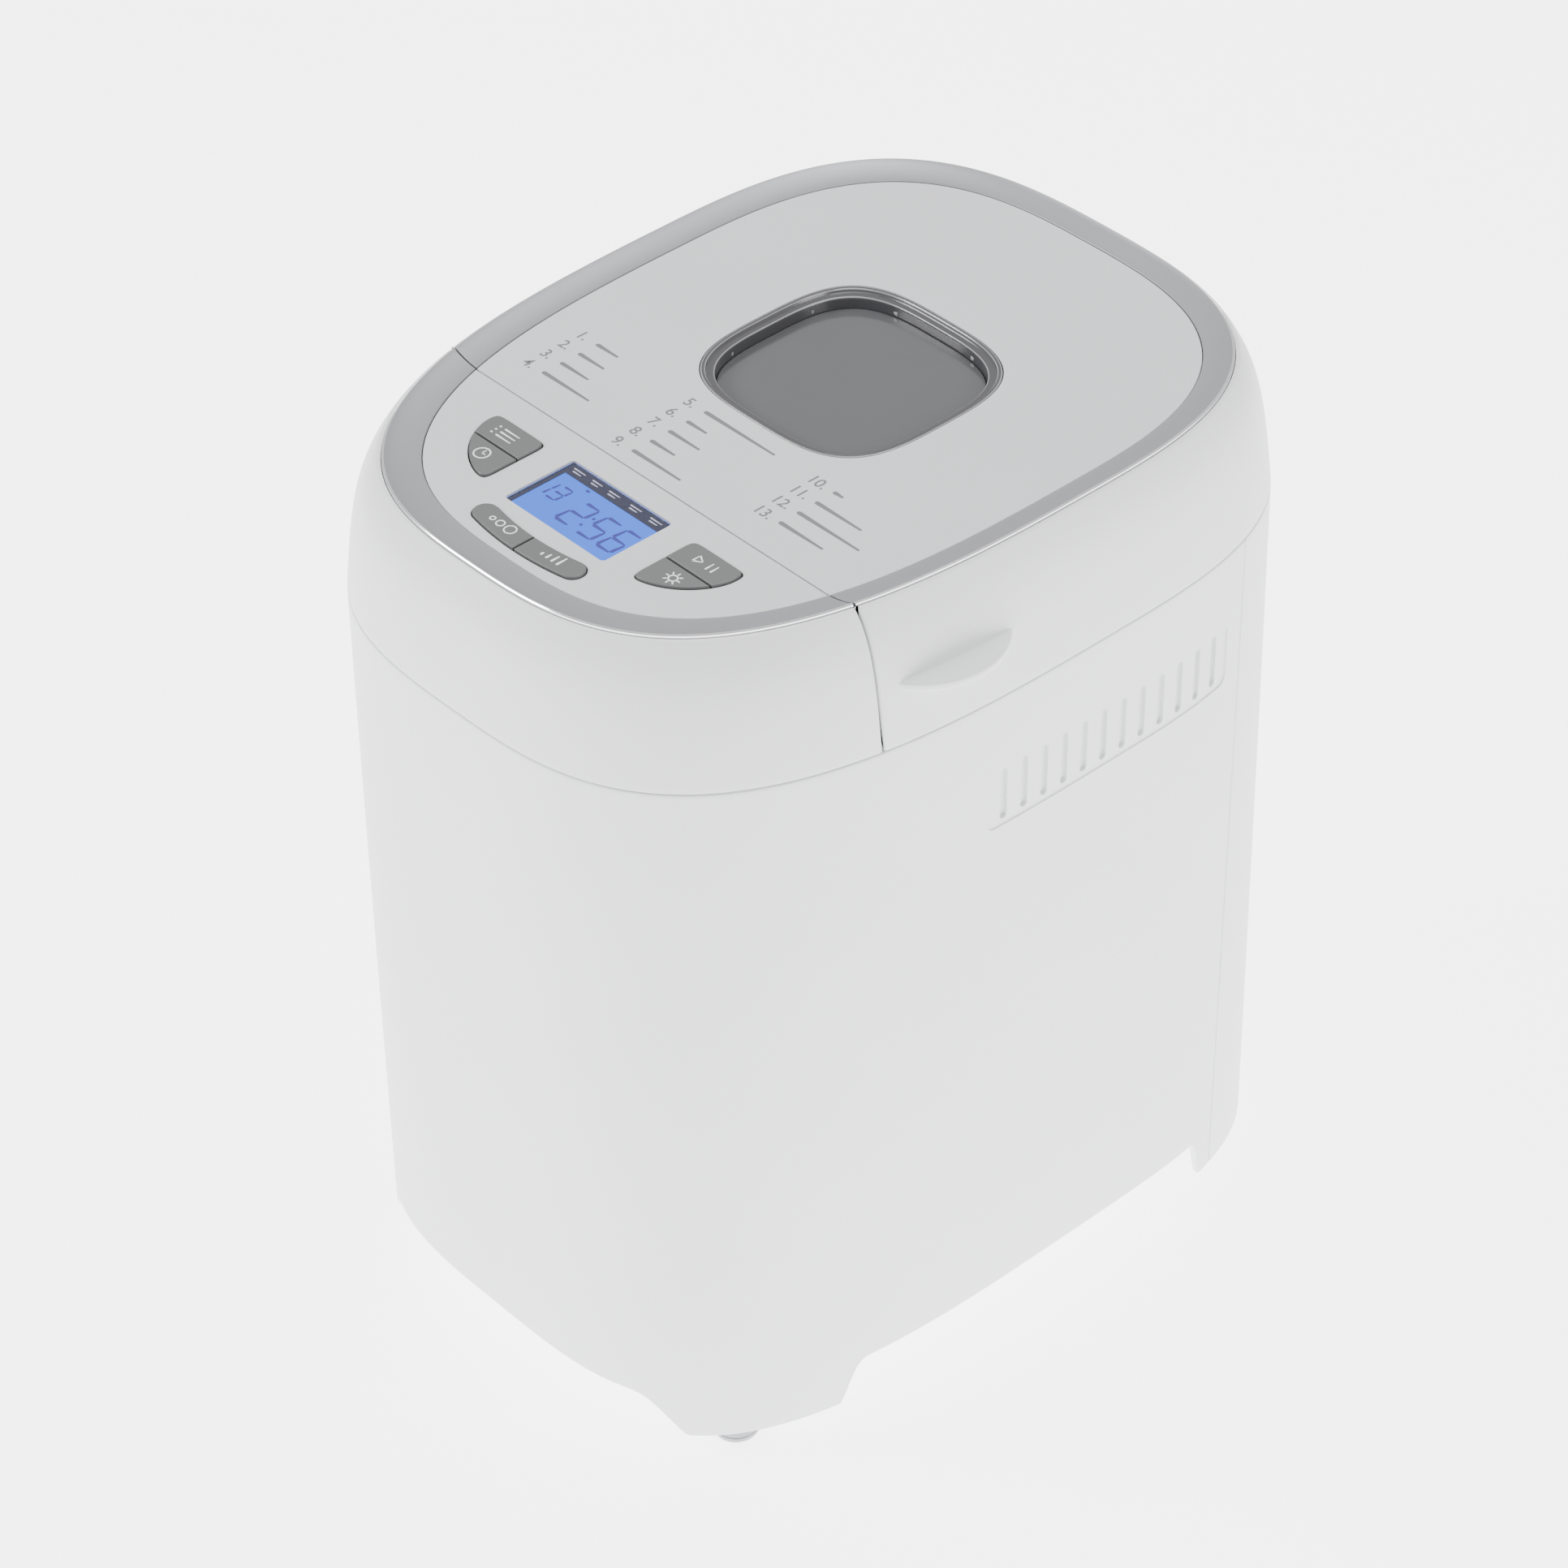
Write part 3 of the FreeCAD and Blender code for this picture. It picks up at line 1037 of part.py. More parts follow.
skirt_ring = upright_cylinder(ring_radius, ring_low, pan_bottom + 0.3).cut(
    upright_cylinder(ring_radius - 2, ring_low - EPS, pan_bottom + 2))
pan = pan.fuse(skirt_ring)
ear_half, ear_out = val("ear_half"), pan_half + rim
for side in (-1, 1):
    x0, x1 = sorted((side * (ear_out - val("ear_thick")), side * ear_out))
    ear = slab(x0, x1, drive_y - ear_half, drive_y + ear_half, rim_z - val("ear_thick"), rim_z + val("ear_tall"))
    pan = pan.fuse(ear)
pan = pan.cut(Part.makeCylinder(hole, 2 * FAR, FreeCAD.Vector(-FAR, drive_y, pivot_z), FreeCAD.Vector(1, 0, 0)))
bush_hole = val("bush_radius")
pan = pan.cut(upright_cylinder(bush_hole, pan_bottom - 5, pan_bottom + 5))
keep(feature("bread_pan", pan), "bread_pan")

bail_x = ear_out + val("bail_gap") + bail
bail_end = drive_y + val("bail_reach")
bail_path = [FreeCAD.Vector(-bail_x, drive_y, pivot_z), FreeCAD.Vector(-bail_x, bail_end, pivot_z),
             FreeCAD.Vector(bail_x, bail_end, pivot_z), FreeCAD.Vector(bail_x, drive_y, pivot_z)]
bail_shape = bent_tube(bail_path, [val("bail_bend")] * 2, bail)
for side in (-1, 1):
    x0, x1 = sorted((side * (bail_x - bail), side * (bail_x + bail)))
    eye_at = FreeCAD.Vector(x0, drive_y, pivot_z)
    eye = Part.makeCylinder(bail + val("rivet_over"), x1 - x0, eye_at, FreeCAD.Vector(1, 0, 0))
    bail_shape = bail_shape.fuse(eye)
bail_bore = Part.makeCylinder(val("pivot_radius") + val("press_fit"), 2 * FAR, FreeCAD.Vector(-FAR, drive_y, pivot_z),
                              FreeCAD.Vector(1, 0, 0))
keep(feature("pan_handle", bail_shape.cut(bail_bore)), "pan_handle")
rivets, rivet_over, rivet_cap = [], val("rivet_over"), val("rivet_cap")
rivet_in, rivet_out = ear_out - val("ear_thick") - 1.6, bail_x + bail + rivet_cap + 0.1
for side in (-1, 1):
    pin_x, head_x, cap_x = ((rivet_in, rivet_in, rivet_out - rivet_cap) if side > 0 else
                            (-rivet_out, -rivet_in - rivet_over, -rivet_out))
    rivet = lying_cylinder("rivet_pin", "pivot_radius", pin_x, rivet_out - rivet_in, drive_y, pivot_z)
    head = lying_cylinder("rivet_head", "pivot_radius+rivet_over", head_x, "rivet_over", drive_y, pivot_z)
    cap = lying_cylinder("rivet_cap", "pivot_radius+rivet_over", cap_x, "rivet_cap", drive_y, pivot_z)
    rivets.append(fuse("rivet", rivet, head, cap))
keep(group("handle_rivets", rivets), "handle_rivets")

# Bearing bush in the pan floor with its seal, the pan shaft and the kneading paddle.
shaft = val("shaft_radius")
bush_low = pan_bottom - val("bush_under")
bush_high = bush_low + val("bush_tall")
bush_points = [("shaft_radius+running", "0"), ("bush_radius-press_fit", "0"), ("bush_radius-press_fit", "bush_tall"),
               ("shaft_radius+running", "bush_tall")]
keep(turned("pan_bush", bush_points, "0", drive_y, bush_low), "pan_bush")
seal_points = [("shaft_radius+running", "0"), ("shaft_radius+3", "0"), ("shaft_radius+2", "seal_tall"),
               ("shaft_radius+running", "seal_tall")]
keep(turned("shaft_seal", seal_points, "0", drive_y, bush_high + val("press_fit")), "shaft_seal")
paddle_low = bush_high + val("seal_tall") + 0.7
paddle_high = paddle_low + val("paddle_tall")
dog_z = floor_top + val("dog_low") + val("coupler_thick")
driven_z = dog_z + val("dog_tall") + val("dog_gap")
pan_shaft = upright_cylinder(shaft, driven_z + 1.1, paddle_high - 2)
flat = val("flat_depth")
flat_side = slab(shaft - flat, 2 * shaft, drive_y - FAR, drive_y + FAR, paddle_low, paddle_high)
pan_shaft = pan_shaft.cut(flat_side)
keep(feature("pan_shaft", pan_shaft), "pan_shaft")
bore = upright_cylinder(shaft + val("running"), paddle_low - EPS, paddle_high - 1.9)
bore = bore.cut(slab(shaft - flat + val("running"), 2 * shaft, drive_y - FAR, drive_y + FAR, 0, FAR))
hub_low, hub_high = val("paddle_hub"), val("paddle_hub") - val("paddle_taper")
hub = Part.makeCone(hub_low, hub_high, paddle_high - paddle_low, FreeCAD.Vector(0, drive_y, paddle_low))
blade_half, blade_long = val("blade_half"), val("blade_long")
blade = slab(0, blade_long, drive_y - blade_half, drive_y + blade_half, paddle_low, paddle_low + val("blade_tall"))
blade = blade.makeFillet(0.85 * blade_half, [e for e in blade.Edges if e.BoundBox.XMin > blade_long - 1])
blade = blade.fuse(slab(0, 0.9 * blade_long, drive_y - 2.5 * blade_half, drive_y + 0.8 * blade_half, paddle_low,
                        paddle_low + val("blade_foot")))
keep(feature("kneading_paddle", hub.fuse(blade).cut(bore)), "kneading_paddle")


def dogs(low, high, turn):
    """Two coupling dogs, each side of the axis."""
    teeth, half = [], val("dog_half")
    for side in (-1, 1):
        x0, x1 = sorted((side * val("dog_inner"), side * (val("coupler_radius") - 0.8)))
        tooth = slab(x0, x1, -half, half, low, high)
        tooth.rotate(FreeCAD.Vector(), FreeCAD.Vector(0, 0, 1), turn)
        tooth.translate(axis_point)
        teeth.append(tooth)
    return teeth


snug = shaft + val("press_fit")
coupler = upright_cylinder(val("coupler_radius"), floor_top + val("dog_low"), dog_z)
coupler = coupler.fuse(upright_cylinder(shaft + val("hub_wall"), floor_top + steel, dog_z))
coupler = coupler.fuse(dogs(dog_z - 0.5, dog_z + val("dog_tall"), 0))
keep(feature("drive_coupler", coupler.cut(upright_cylinder(snug, floor_top, dog_z + 9))), "drive_coupler")
driven = upright_cylinder(val("coupler_radius"), driven_z, driven_z + val("driven_thick"))
driven = driven.fuse(dogs(dog_z + val("dog_gap"), driven_z + 0.4, 90))
keep(feature("pan_coupler", driven.cut(upright_cylinder(snug, dog_z, dog_z + 20))), "pan_coupler")

seat_in = ring_radius + val("seat_gap")
seat = upright_cylinder(seat_in + val("seat_wall"), floor_top, floor_top + val("seat_tall"))
seat = seat.fuse(upright_cylinder(seat_in + val("seat_wall") + 4, floor_top, floor_top + 1.6))
seat = seat.cut(upright_cylinder(seat_in, ring_low - 0.01, floor_top + 60))
seat = seat.cut(upright_cylinder(ring_radius - 6, floor_top - EPS, floor_top + 60))
keep(feature("pan_seat", seat), "pan_seat")

# ---------------------------------------------------------------- drive train

plate_z, plate_top = val("plate_height"), val("plate_height") + val("plate_thick")
motor_y = (front_end + wall + chamber_y0) / 2 - val("motor_shift")
plate_rear = drive_y + val("post_rear") + val("plate_rear")
plate = slab(-val("plate_half"), val("plate_half"), motor_y - val("plate_front"), plate_rear, plate_z, plate_top)
plate = soften(plate, val("plate_corner"))
keep_in = casing_solid(plate_z - EPS, plate_top + EPS, wall + 1)
boss = upright_cylinder(val("boss_radius"), plate_z - val("boss_low"), plate_top + val("boss_high"))
plate = plate.common(keep_in).fuse(boss)
plate_holes = [upright_cylinder(val("bush_radius"), 0, FAR),
               upright_cylinder(3 * val("motor_shaft"), 0, FAR, 0, motor_y)]
loose = val("screw_radius") + val("screw_fit")
motor_holes = [(dx * val("motor_hole"), motor_y + dy * val("motor_hole")) for dx, dy in FEET]
plate_holes += [upright_cylinder(loose, 0, FAR, x, y) for x, y in posts_at + motor_holes]
keep(feature("drive_frame", plate.cut(plate_holes)), "drive_frame")

post_low = base_low + val("base_thick")
bite, head_tall = val("screw_bite"), val("head_tall")
frame_posts, standoffs, screws = [], [], []
for x, y in posts_at:
    post = upright_cylinder(val("post_radius"), post_low, plate_z, x, y)
    frame_posts.append(post.cut(upright_cylinder(thread, post_low - EPS, post_low + bite + 2, x, y)))
    standoffs.append(upright_cylinder(val("post_radius"), plate_top, floor_z, x, y))
    screw = upright_cylinder(val("screw_radius"), base_low - 0.5, post_low + bite, x, y)
    screws.append(screw.fuse(upright_cylinder(val("screw_head"), base_low - head_tall, base_low, x, y)))
keep(feature("frame_posts", Part.makeCompound(frame_posts)), "frame_posts")
keep(feature("chamber_standoffs", Part.makeCompound(standoffs)), "chamber_standoffs")

belt_low, bearing_low = val("belt_low"), plate_top + val("boss_high") - val("bearing_tall")
bearing_points = [("shaft_radius+running", "0"), ("bush_radius-press_fit", "0"),
                  ("bush_radius-press_fit", "bearing_tall"), ("bush_radius+2", "bearing_tall"),
                  ("bush_radius+2", "bearing_tall+bearing_collar"),
                  ("shaft_radius+running", "bearing_tall+bearing_collar")]
keep(turned("bearing_bush", bearing_points, "0", drive_y, bearing_low), "bearing_bush")
keep(feature("drive_shaft", upright_cylinder(shaft, belt_low - 4, dog_z + 3)), "drive_shaft")


def pulley(name, radius, bore, y):
    """Belt pulley turned about Z, with a flange above and below the belt."""
    rim, flange = f"{radius}", f"{radius}+flange_over"
    thick, wide, hole = "flange_thick", "belt_wide+2*belt_gap", f"{bore}+press_fit"
    points = [(hole, "0"), (flange, "0"), (flange, thick), (rim, thick), (rim, f"{thick}+{wide}"),
              (flange, f"{thick}+{wide}"), (flange, f"2*{thick}+{wide}"), (hole, f"2*{thick}+{wide}")]
    return keep(turned(name, points, "0", y, f"belt_low-{thick}-belt_gap"), name)


pulley("driven_pulley", "pulley_radius", "shaft_radius", drive_y)
pulley("motor_pulley", "pinion_radius", "motor_shaft", motor_y)


def belt_loop(big, small):
    """Outline of a belt round both pulleys: two arcs joined by their common tangents."""
    far = drive_y - motor_y
    slope = (big - small) / far
    level_part = (1 - slope ** 2) ** 0.5

    def touch(side, radius, y):
        return FreeCAD.Vector(side * radius * level_part, y - radius * slope, belt_low)

    big_right, big_left = touch(1, big, drive_y), touch(-1, big, drive_y)
    small_right, small_left = touch(1, small, motor_y), touch(-1, small, motor_y)
    rear = Part.Arc(big_right, FreeCAD.Vector(0, drive_y + big, belt_low), big_left).toShape()
    front = Part.Arc(small_left, FreeCAD.Vector(0, motor_y - small, belt_low), small_right).toShape()
    return Part.Wire([rear, Part.makeLine(big_left, small_left), front, Part.makeLine(small_right, big_right)])


inside_big, inside_small = val("pulley_radius") + val("belt_gap"), val("pinion_radius") + val("belt_gap")
belt = prism(belt_loop(inside_big + val("belt_thick"), inside_small + val("belt_thick")), val("belt_wide"))
belt = belt.cut(prism(belt_loop(inside_big, inside_small), val("belt_wide")))
keep(feature("drive_belt", belt), "drive_belt")

motor_r, motor_top = val("motor_radius"), plate_top + val("motor_tall")
motor = upright_cylinder(motor_r, plate_top, motor_top, 0, motor_y)
round_edges = [e for e in motor.Edges if len(e.Vertexes) == 1 and e.BoundBox.ZMin > motor_top - 1]
motor = motor.makeFillet(val("motor_round"), round_edges)
for x, y in motor_holes:
    motor = motor.cut(upright_cylinder(thread, plate_top - EPS, plate_top + bite, x, y))
    screw = upright_cylinder(val("screw_radius"), plate_z - 0.5, plate_top + bite - 1, x, y)
    screws.append(screw.fuse(upright_cylinder(val("screw_head"), plate_z - head_tall, plate_z, x, y)))
axle_bore = upright_cylinder(val("motor_shaft") + val("running"), 0, motor_top - 10, 0, motor_y)
keep(feature("motor_can", motor.cut(axle_bore)), "motor_can")
axle_rod = upright_cylinder(val("motor_shaft"), belt_low - 3, motor_top - 12, 0, motor_y)
keep(feature("motor_shaft", axle_rod), "motor_shaft")
keep(feature("frame_screws", Part.makeCompound(screws)), "frame_screws")

# Power board, standing on the left behind the front wall, with its larger components.
power_x, power_z = -motor_r - val("power_gap"), plate_top + val("power_foot")
power_y0, power_y1, sheet_x = motor_y - val("power_front"), motor_y + val("power_rear"), power_x - val("board_thick")
keep(feature("power_board", slab(sheet_x, power_x, power_y0, power_y1, power_z, power_z + val("power_tall"))),
     "power_board")
power_stand = slab(sheet_x, power_x, power_y0 + 6, power_y1 - 6, plate_top, power_z - 0.1)
keep(feature("board_foot", power_stand), "board_foot")
relay = slab(power_x + 0.1, power_x + 13, power_y0 + 6, power_y0 + 22, power_z + 60, power_z + 74)
capacitor_at = FreeCAD.Vector(power_x + 0.1, power_y1 - 10, power_z + 66)
capacitor = Part.makeCylinder(5, 9, capacitor_at, FreeCAD.Vector(1, 0, 0))
choke = slab(sheet_x - 10.4, sheet_x - 0.1, power_y0 + 10, power_y0 + 30, power_z + 8, power_z + 26)
keep(feature("board_components", Part.makeCompound([relay, capacitor, choke])), "board_components")

# Cord gland in the rear cover: a flanged bush with its bore along Y.
gland_y = max(point.y for point in casing_loop(val("gland_height")).Edges[0].discretize(400)
              if abs(point.x - val("gland_x")) < EPS)
gland_at = FreeCAD.Vector(val("gland_x"), gland_y, val("gland_height"))
gland = Part.makeCylinder(val("gland_radius"), 2.5, gland_at + forward * 2.2, forward)
gland = gland.fuse(Part.makeCylinder(gland_out, 12, gland_at - forward * 8, forward))
keep(feature("cord_gland", gland.cut(Part.makeCylinder(val("gland_bore"), 60, gland_at - forward * 30, forward))),
     "cord_gland")

# ---------------------------------------------------------------- check and write

doc.recompute()
for obj in doc.Objects:
    if {"Invalid", "Error"} & set(obj.State):
        raise RuntimeError(f"{obj.Name} is not built: {obj.State}")
os.makedirs("parts", exist_ok=True)
for node in nodes:
    if node.Shape.isNull() or not node.Shape.isValid():
        raise RuntimeError(f"{node.Label} has no valid shape")
for node in nodes:
    node.Shape.exportStep(f"parts/{node.Label}.step")
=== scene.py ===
from math import cos, exp, pi, radians, sin, sqrt

import bmesh
import bpy
from mathutils import Matrix, Vector


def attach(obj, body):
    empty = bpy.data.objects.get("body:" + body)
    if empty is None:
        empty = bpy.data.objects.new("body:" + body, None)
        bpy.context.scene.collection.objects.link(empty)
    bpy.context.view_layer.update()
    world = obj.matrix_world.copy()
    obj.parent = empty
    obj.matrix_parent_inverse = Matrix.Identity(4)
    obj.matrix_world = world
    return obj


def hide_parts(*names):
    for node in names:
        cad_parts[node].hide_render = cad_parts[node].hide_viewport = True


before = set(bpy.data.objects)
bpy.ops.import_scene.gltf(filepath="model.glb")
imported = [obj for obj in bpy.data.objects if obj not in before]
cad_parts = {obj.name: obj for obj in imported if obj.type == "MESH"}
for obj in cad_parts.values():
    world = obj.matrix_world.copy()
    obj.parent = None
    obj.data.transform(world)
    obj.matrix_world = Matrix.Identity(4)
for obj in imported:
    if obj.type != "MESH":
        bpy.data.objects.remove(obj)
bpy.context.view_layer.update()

# Bread machine.  Shapes are made in millimetres and scaled to metres as each piece is finished.
MM = 0.001
WIDEST = 26.5                    # y of the widest line
SEAM, TOP = 277.6, 326.5         # seam between casing and top, and the top of the trim ring
SEAM_GAP = 0.35
BOTTOM, SKIRT = 24.4, 7.7        # arches and corner skirts above the table
WALL = 2.6
TRIM = (100.0, 162.3, 104.5)     # trim ring: half width, reach to the front, reach to the rear
TRIM_IN = (90.3, 150.2, 96.2)
TRIM_POWER = 2.9
SHOULDER_TOP = 325.5
LEDGE = 320.1
PANEL_TOP = 323.6
RING_IN = 323.8
SPLIT = -66.6
SPLIT_GAP = 0.6
JOINT, JOINT_GAP = 89.0, 0.4     # joint of the rear cover
CASING = (110.8, 173.5, 114.5)   # casing at the seam: half width, reach to the front, reach to the rear
SHOULDER_DEPTH = 48.9
HINGE_X, HINGE_Y, HINGE_Z, HINGE_RADIUS = 32.0, 144.6, 274.5, 3.4
LID_BARRELS = (20.6, 43.4)       # middles of the lid's barrels, on each side of the rear cover's
FOOT_X, FOOT_FRONT, FOOT_REAR = 77.5, -109.8, 101.0
FRONT_ARCH, REAR_ARCH = (75.2, 18.2), (77.0, 11.0)     # half width of an arch at its foot, and run of its rise
SIDE_ARCH, SIDE_ARCH_RUNS = 82.3, (11.0, 5.5)
VENT_Z, VENT_FRAME, VENT_SLOT = 238.7, (54.0, 12.3), (1.5, 10.0)
WINDOW_Y, WINDOW, WINDOW_POWER = 17.9, (41.7, 40.8, 40.8), 3.36
KEY_TOP, KEY_FOOT = 324.5, 318.6
KEY_SPLIT, KEY_HALF_GAP = -89.4, 0.35
KEY_HOLE = 0.45                  # room round the keys in the panel
DISPLAY_Y, DISPLAY = -90.3, (22.9, 13.9)
SCREEN = 322.8                   # lit face of the display
PRINT, SIGN = PANEL_TOP + 0.02, KEY_TOP + 0.01
PRINT_THICK = 0.02


# ---------------------------------------------------------------- finishes

class Wire:
    """A shader value that can be added, taken away and multiplied like a number."""

    def __init__(self, finish, socket):
        self.finish, self.socket = finish, socket

    def maths(self, operation, a, b):
        return self.finish.node("ShaderNodeMath", {"operation": operation}, {0: a, 1: b})

    def __add__(self, other):
        return self.maths("ADD", self, other)

    def __radd__(self, other):
        return self.maths("ADD", other, self)

    def __sub__(self, other):
        return self.maths("SUBTRACT", self, other)

    def __rsub__(self, other):
        return self.maths("SUBTRACT", other, self)

    def __mul__(self, other):
        return self.maths("MULTIPLY", self, other)

    def __rmul__(self, other):
        return self.maths("MULTIPLY", other, self)


class Finish:
    """A material made of nodes."""

    def __init__(self, name):
        self.material = bpy.data.materials.new(name)
        self.material.use_nodes = True
        self.tree = self.material.node_tree
        self.shader = self.tree.nodes["Principled BSDF"]
        self.place = self.node("ShaderNodeTexCoord", {}, {}, "Object")

    def node(self, kind, settings, inputs, output=0):
        made = self.tree.nodes.new(kind)
        for key, value in settings.items():
            setattr(made, key, value)
        for key, value in inputs.items():
            self.put(made.inputs[key], value)
        return Wire(self, made.outputs[output])

    def put(self, socket, value):
        if isinstance(value, Wire):
            self.tree.links.new(value.socket, socket)
        else:
            socket.default_value = value

    def set(self, **values):
        for key, value in values.items():
            self.put(self.shader.inputs[key.replace("_", " ")], value)
        return self

    def speckle(self, scale, detail=2.0, stretch=(1.0, 1.0, 1.0)):
        """Noise with so many lumps to the metre, stretched along an axis if asked."""
        spread = self.node("ShaderNodeMapping", {}, {"Vector": self.place, "Scale": stretch})
        return self.node("ShaderNodeTexNoise", {}, {"Vector": spread, "Scale": scale, "Detail": detail})

    def between(self, mask, low, high):
        """A colour that goes from low to high as mask goes from 0 to 1."""
        return self.node("ShaderNodeMix", {"data_type": "RGBA"},
                         {"Factor": mask, 6: (*low, 1.0), 7: (*high, 1.0)}, 2)

    def bump(self, height, depth_mm, strength=1.0):
        normal = self.node("ShaderNodeBump", {}, {"Height": height, "Distance": depth_mm * MM, "Strength": strength})
        return self.set(Normal=normal)


def shade(colour, by):
    """A colour made lighter or darker."""
    return tuple(min(1.0, max(0.0, c * by)) for c in colour)


def moulded(name, colour, roughness, grain=2600.0, depth=0.010, drift=0.03, coat=0.0):
    """Moulded plastic: fine spark texture, slow drift of tone, and roughness that varies with both."""
    finish = Finish(name)
    fine, slow = finish.speckle(grain, 3.0), finish.speckle(18.0, 2.0)
    finish.set(Base_Color=finish.between(slow, shade(colour, 1 - drift), shade(colour, 1 + drift)),
               Roughness=roughness - 0.05 + 0.06 * slow + 0.05 * fine, Coat_Weight=coat, Coat_Roughness=0.12)
    return finish.bump(fine, depth).material


def brushed(name, colour, roughness, along=(0.04, 1.0, 1.0), scale=2200.0, depth=0.004, metallic=1.0):
    """Metal with fine lines along one axis and faint cloudiness."""
    finish = Finish(name)
    lines, cloud = finish.speckle(scale, 3.0, along), finish.speckle(35.0, 3.0)
    finish.set(Base_Color=finish.between(lines, shade(colour, 0.93), shade(colour, 1.05)), Metallic=metallic,
               Roughness=roughness - 0.06 + 0.08 * lines + 0.06 * cloud)
    return finish.bump(lines, depth).material


def coated(name, colour, roughness, fleck):
    """Non-stick coating: dark, with fine light flecks and a soft orange-peel surface."""
    finish = Finish(name)
    spots = finish.node("ShaderNodeTexVoronoi", {}, {"Vector": finish.place, "Scale": 900.0}, "Distance")
    flecks = finish.node("ShaderNodeMath", {"operation": "LESS_THAN"}, {0: spots, 1: 0.16})
    peel = finish.speckle(700.0, 2.0)
    finish.set(Base_Color=finish.between(flecks, colour, fleck), Roughness=roughness - 0.05 + 0.1 * peel)
    return finish.bump(peel, 0.012).material


def clear(name, colour, alpha, roughness=0.06):
    """Clear or smoked plastic or glass, with faint smears in its gloss."""
    finish = Finish(name)
    smear = finish.speckle(60.0, 4.0)
    finish.set(Base_Color=finish.between(smear, shade(colour, 0.97), shade(colour, 1.03)), Alpha=alpha,
               Roughness=roughness - 0.02 + 0.06 * smear, Coat_Weight=0.3, Coat_Roughness=0.04)
    return finish.material


def lit(name, colour, glow, strength):
    """The backlit face of the display, its glow varying softly in clouds, with a fine liquid-crystal mesh."""
    finish = Finish(name)
    mesh = finish.speckle(5000.0, 0.0)
    cloud = finish.speckle(30.0, 1.0)
    finish.set(Base_Color=finish.between(mesh, shade(colour, 0.95), colour), Roughness=0.35,
               Emission_Color=finish.between(cloud, shade(glow, 0.86), glow), Emission_Strength=strength)
    return finish.bump(mesh, 0.004).material


WHITE = (0.79, 0.80, 0.81)
PAINTS = {
    "white_plastic": moulded("satin_white", WHITE, 0.42),
    "base_plastic": moulded("base_grey_white", (0.60, 0.61, 0.62), 0.5, depth=0.02),
    "white_panel": moulded("panel_white", (0.60, 0.61, 0.63), 0.34, grain=3400.0, depth=0.004, coat=0.15),
    "silver_trim": brushed("satin_silver", (0.34, 0.345, 0.36), 0.42, along=(1.0, 1.0, 1.0), scale=3200.0,
                           metallic=0.6),
    "bright_edge": brushed("bright_edge", (0.90, 0.90, 0.92), 0.12, along=(1.0, 1.0, 1.0), depth=0.001),
    "grey_key": moulded("key_grey", (0.115, 0.118, 0.118), 0.42, grain=3000.0, depth=0.008),
    "key_print": moulded("print_white", (0.86, 0.87, 0.88), 0.5, depth=0.002),
    "panel_print": moulded("print_grey", (0.15, 0.155, 0.16), 0.5, depth=0.002),
    "display_clear": clear("display_cover", (0.10, 0.12, 0.20), 0.06),
    "display_screen": lit("display_blue", (0.005, 0.02, 0.10), (0.025, 0.17, 1.0), 1.7),
    "display_header": moulded("display_navy", (0.012, 0.012, 0.035), 0.3, depth=0.002, coat=0.2),
    "display_mark": moulded("display_mark", (0.50, 0.50, 0.62), 0.5, depth=0.002),
    "display_digit": lit("display_violet", (0.01, 0.01, 0.06), (0.04, 0.04, 0.40), 1.1),
    "window_plastic": moulded("window_grey", (0.055, 0.055, 0.06), 0.22, grain=3000.0, depth=0.003, coat=0.3),
    # lighter, glossier grey: a painted highlight on the window bezel's up-facing rounded edges; the window clips are
    # made in it too
    "window_edge": moulded("window_edge", (0.24, 0.24, 0.25), 0.18, depth=0.002, coat=0.5),
    "smoked_glass": clear("smoked_glass", (0.088, 0.089, 0.093), 0.95, 0.14),
    "clear_glass": clear("clear_glass", (0.55, 0.58, 0.58), 0.25),
    "liner_steel": brushed("liner_steel", (0.60, 0.60, 0.61), 0.32, along=(1.0, 0.05, 1.0)),
    "heater_steel": brushed("heater_steel", (0.32, 0.31, 0.30), 0.42, along=(1.0, 1.0, 1.0), scale=900.0),
    "zinc_steel": brushed("zinc_steel", (0.55, 0.56, 0.58), 0.38, along=(1.0, 1.0, 1.0), scale=260.0),
    "screw_steel": brushed("screw_steel", (0.50, 0.50, 0.51), 0.30, along=(1.0, 1.0, 0.1)),
    "shaft_steel": brushed("shaft_steel", (0.66, 0.66, 0.67), 0.22, along=(1.0, 1.0, 8.0)),
    "bronze": brushed("sintered_bronze", (0.55, 0.36, 0.17), 0.45, along=(1.0, 1.0, 1.0), scale=1500.0),
    "black_rubber": moulded("black_rubber", (0.02, 0.02, 0.02), 0.75, depth=0.02),
    "foot_rubber": moulded("foot_rubber", (0.30, 0.32, 0.33), 0.38, grain=1500.0, depth=0.02, coat=0.1),
    "pan_coating": coated("pan_coating", (0.045, 0.045, 0.048), 0.42, (0.20, 0.20, 0.21)),
    "bail_steel": brushed("bail_steel", (0.62, 0.62, 0.63), 0.28, along=(0.06, 1.0, 1.0)),
    "coupler_metal": brushed("coupler_metal", (0.46, 0.46, 0.47), 0.40, along=(1.0, 1.0, 1.0), scale=800.0),
    "pulley_plastic": moulded("pulley_plastic", (0.05, 0.05, 0.055), 0.5),
    "motor_steel": brushed("motor_steel", (0.44, 0.45, 0.47), 0.40, along=(1.0, 1.0, 0.2), scale=500.0),
    "board_green": moulded("board_green", (0.015, 0.13, 0.05), 0.35, grain=700.0, depth=0.01, coat=0.3),
    "component_black": moulded("component_black", (0.03, 0.03, 0.03), 0.5),
}

# ---------------------------------------------------------------- shaping helpers

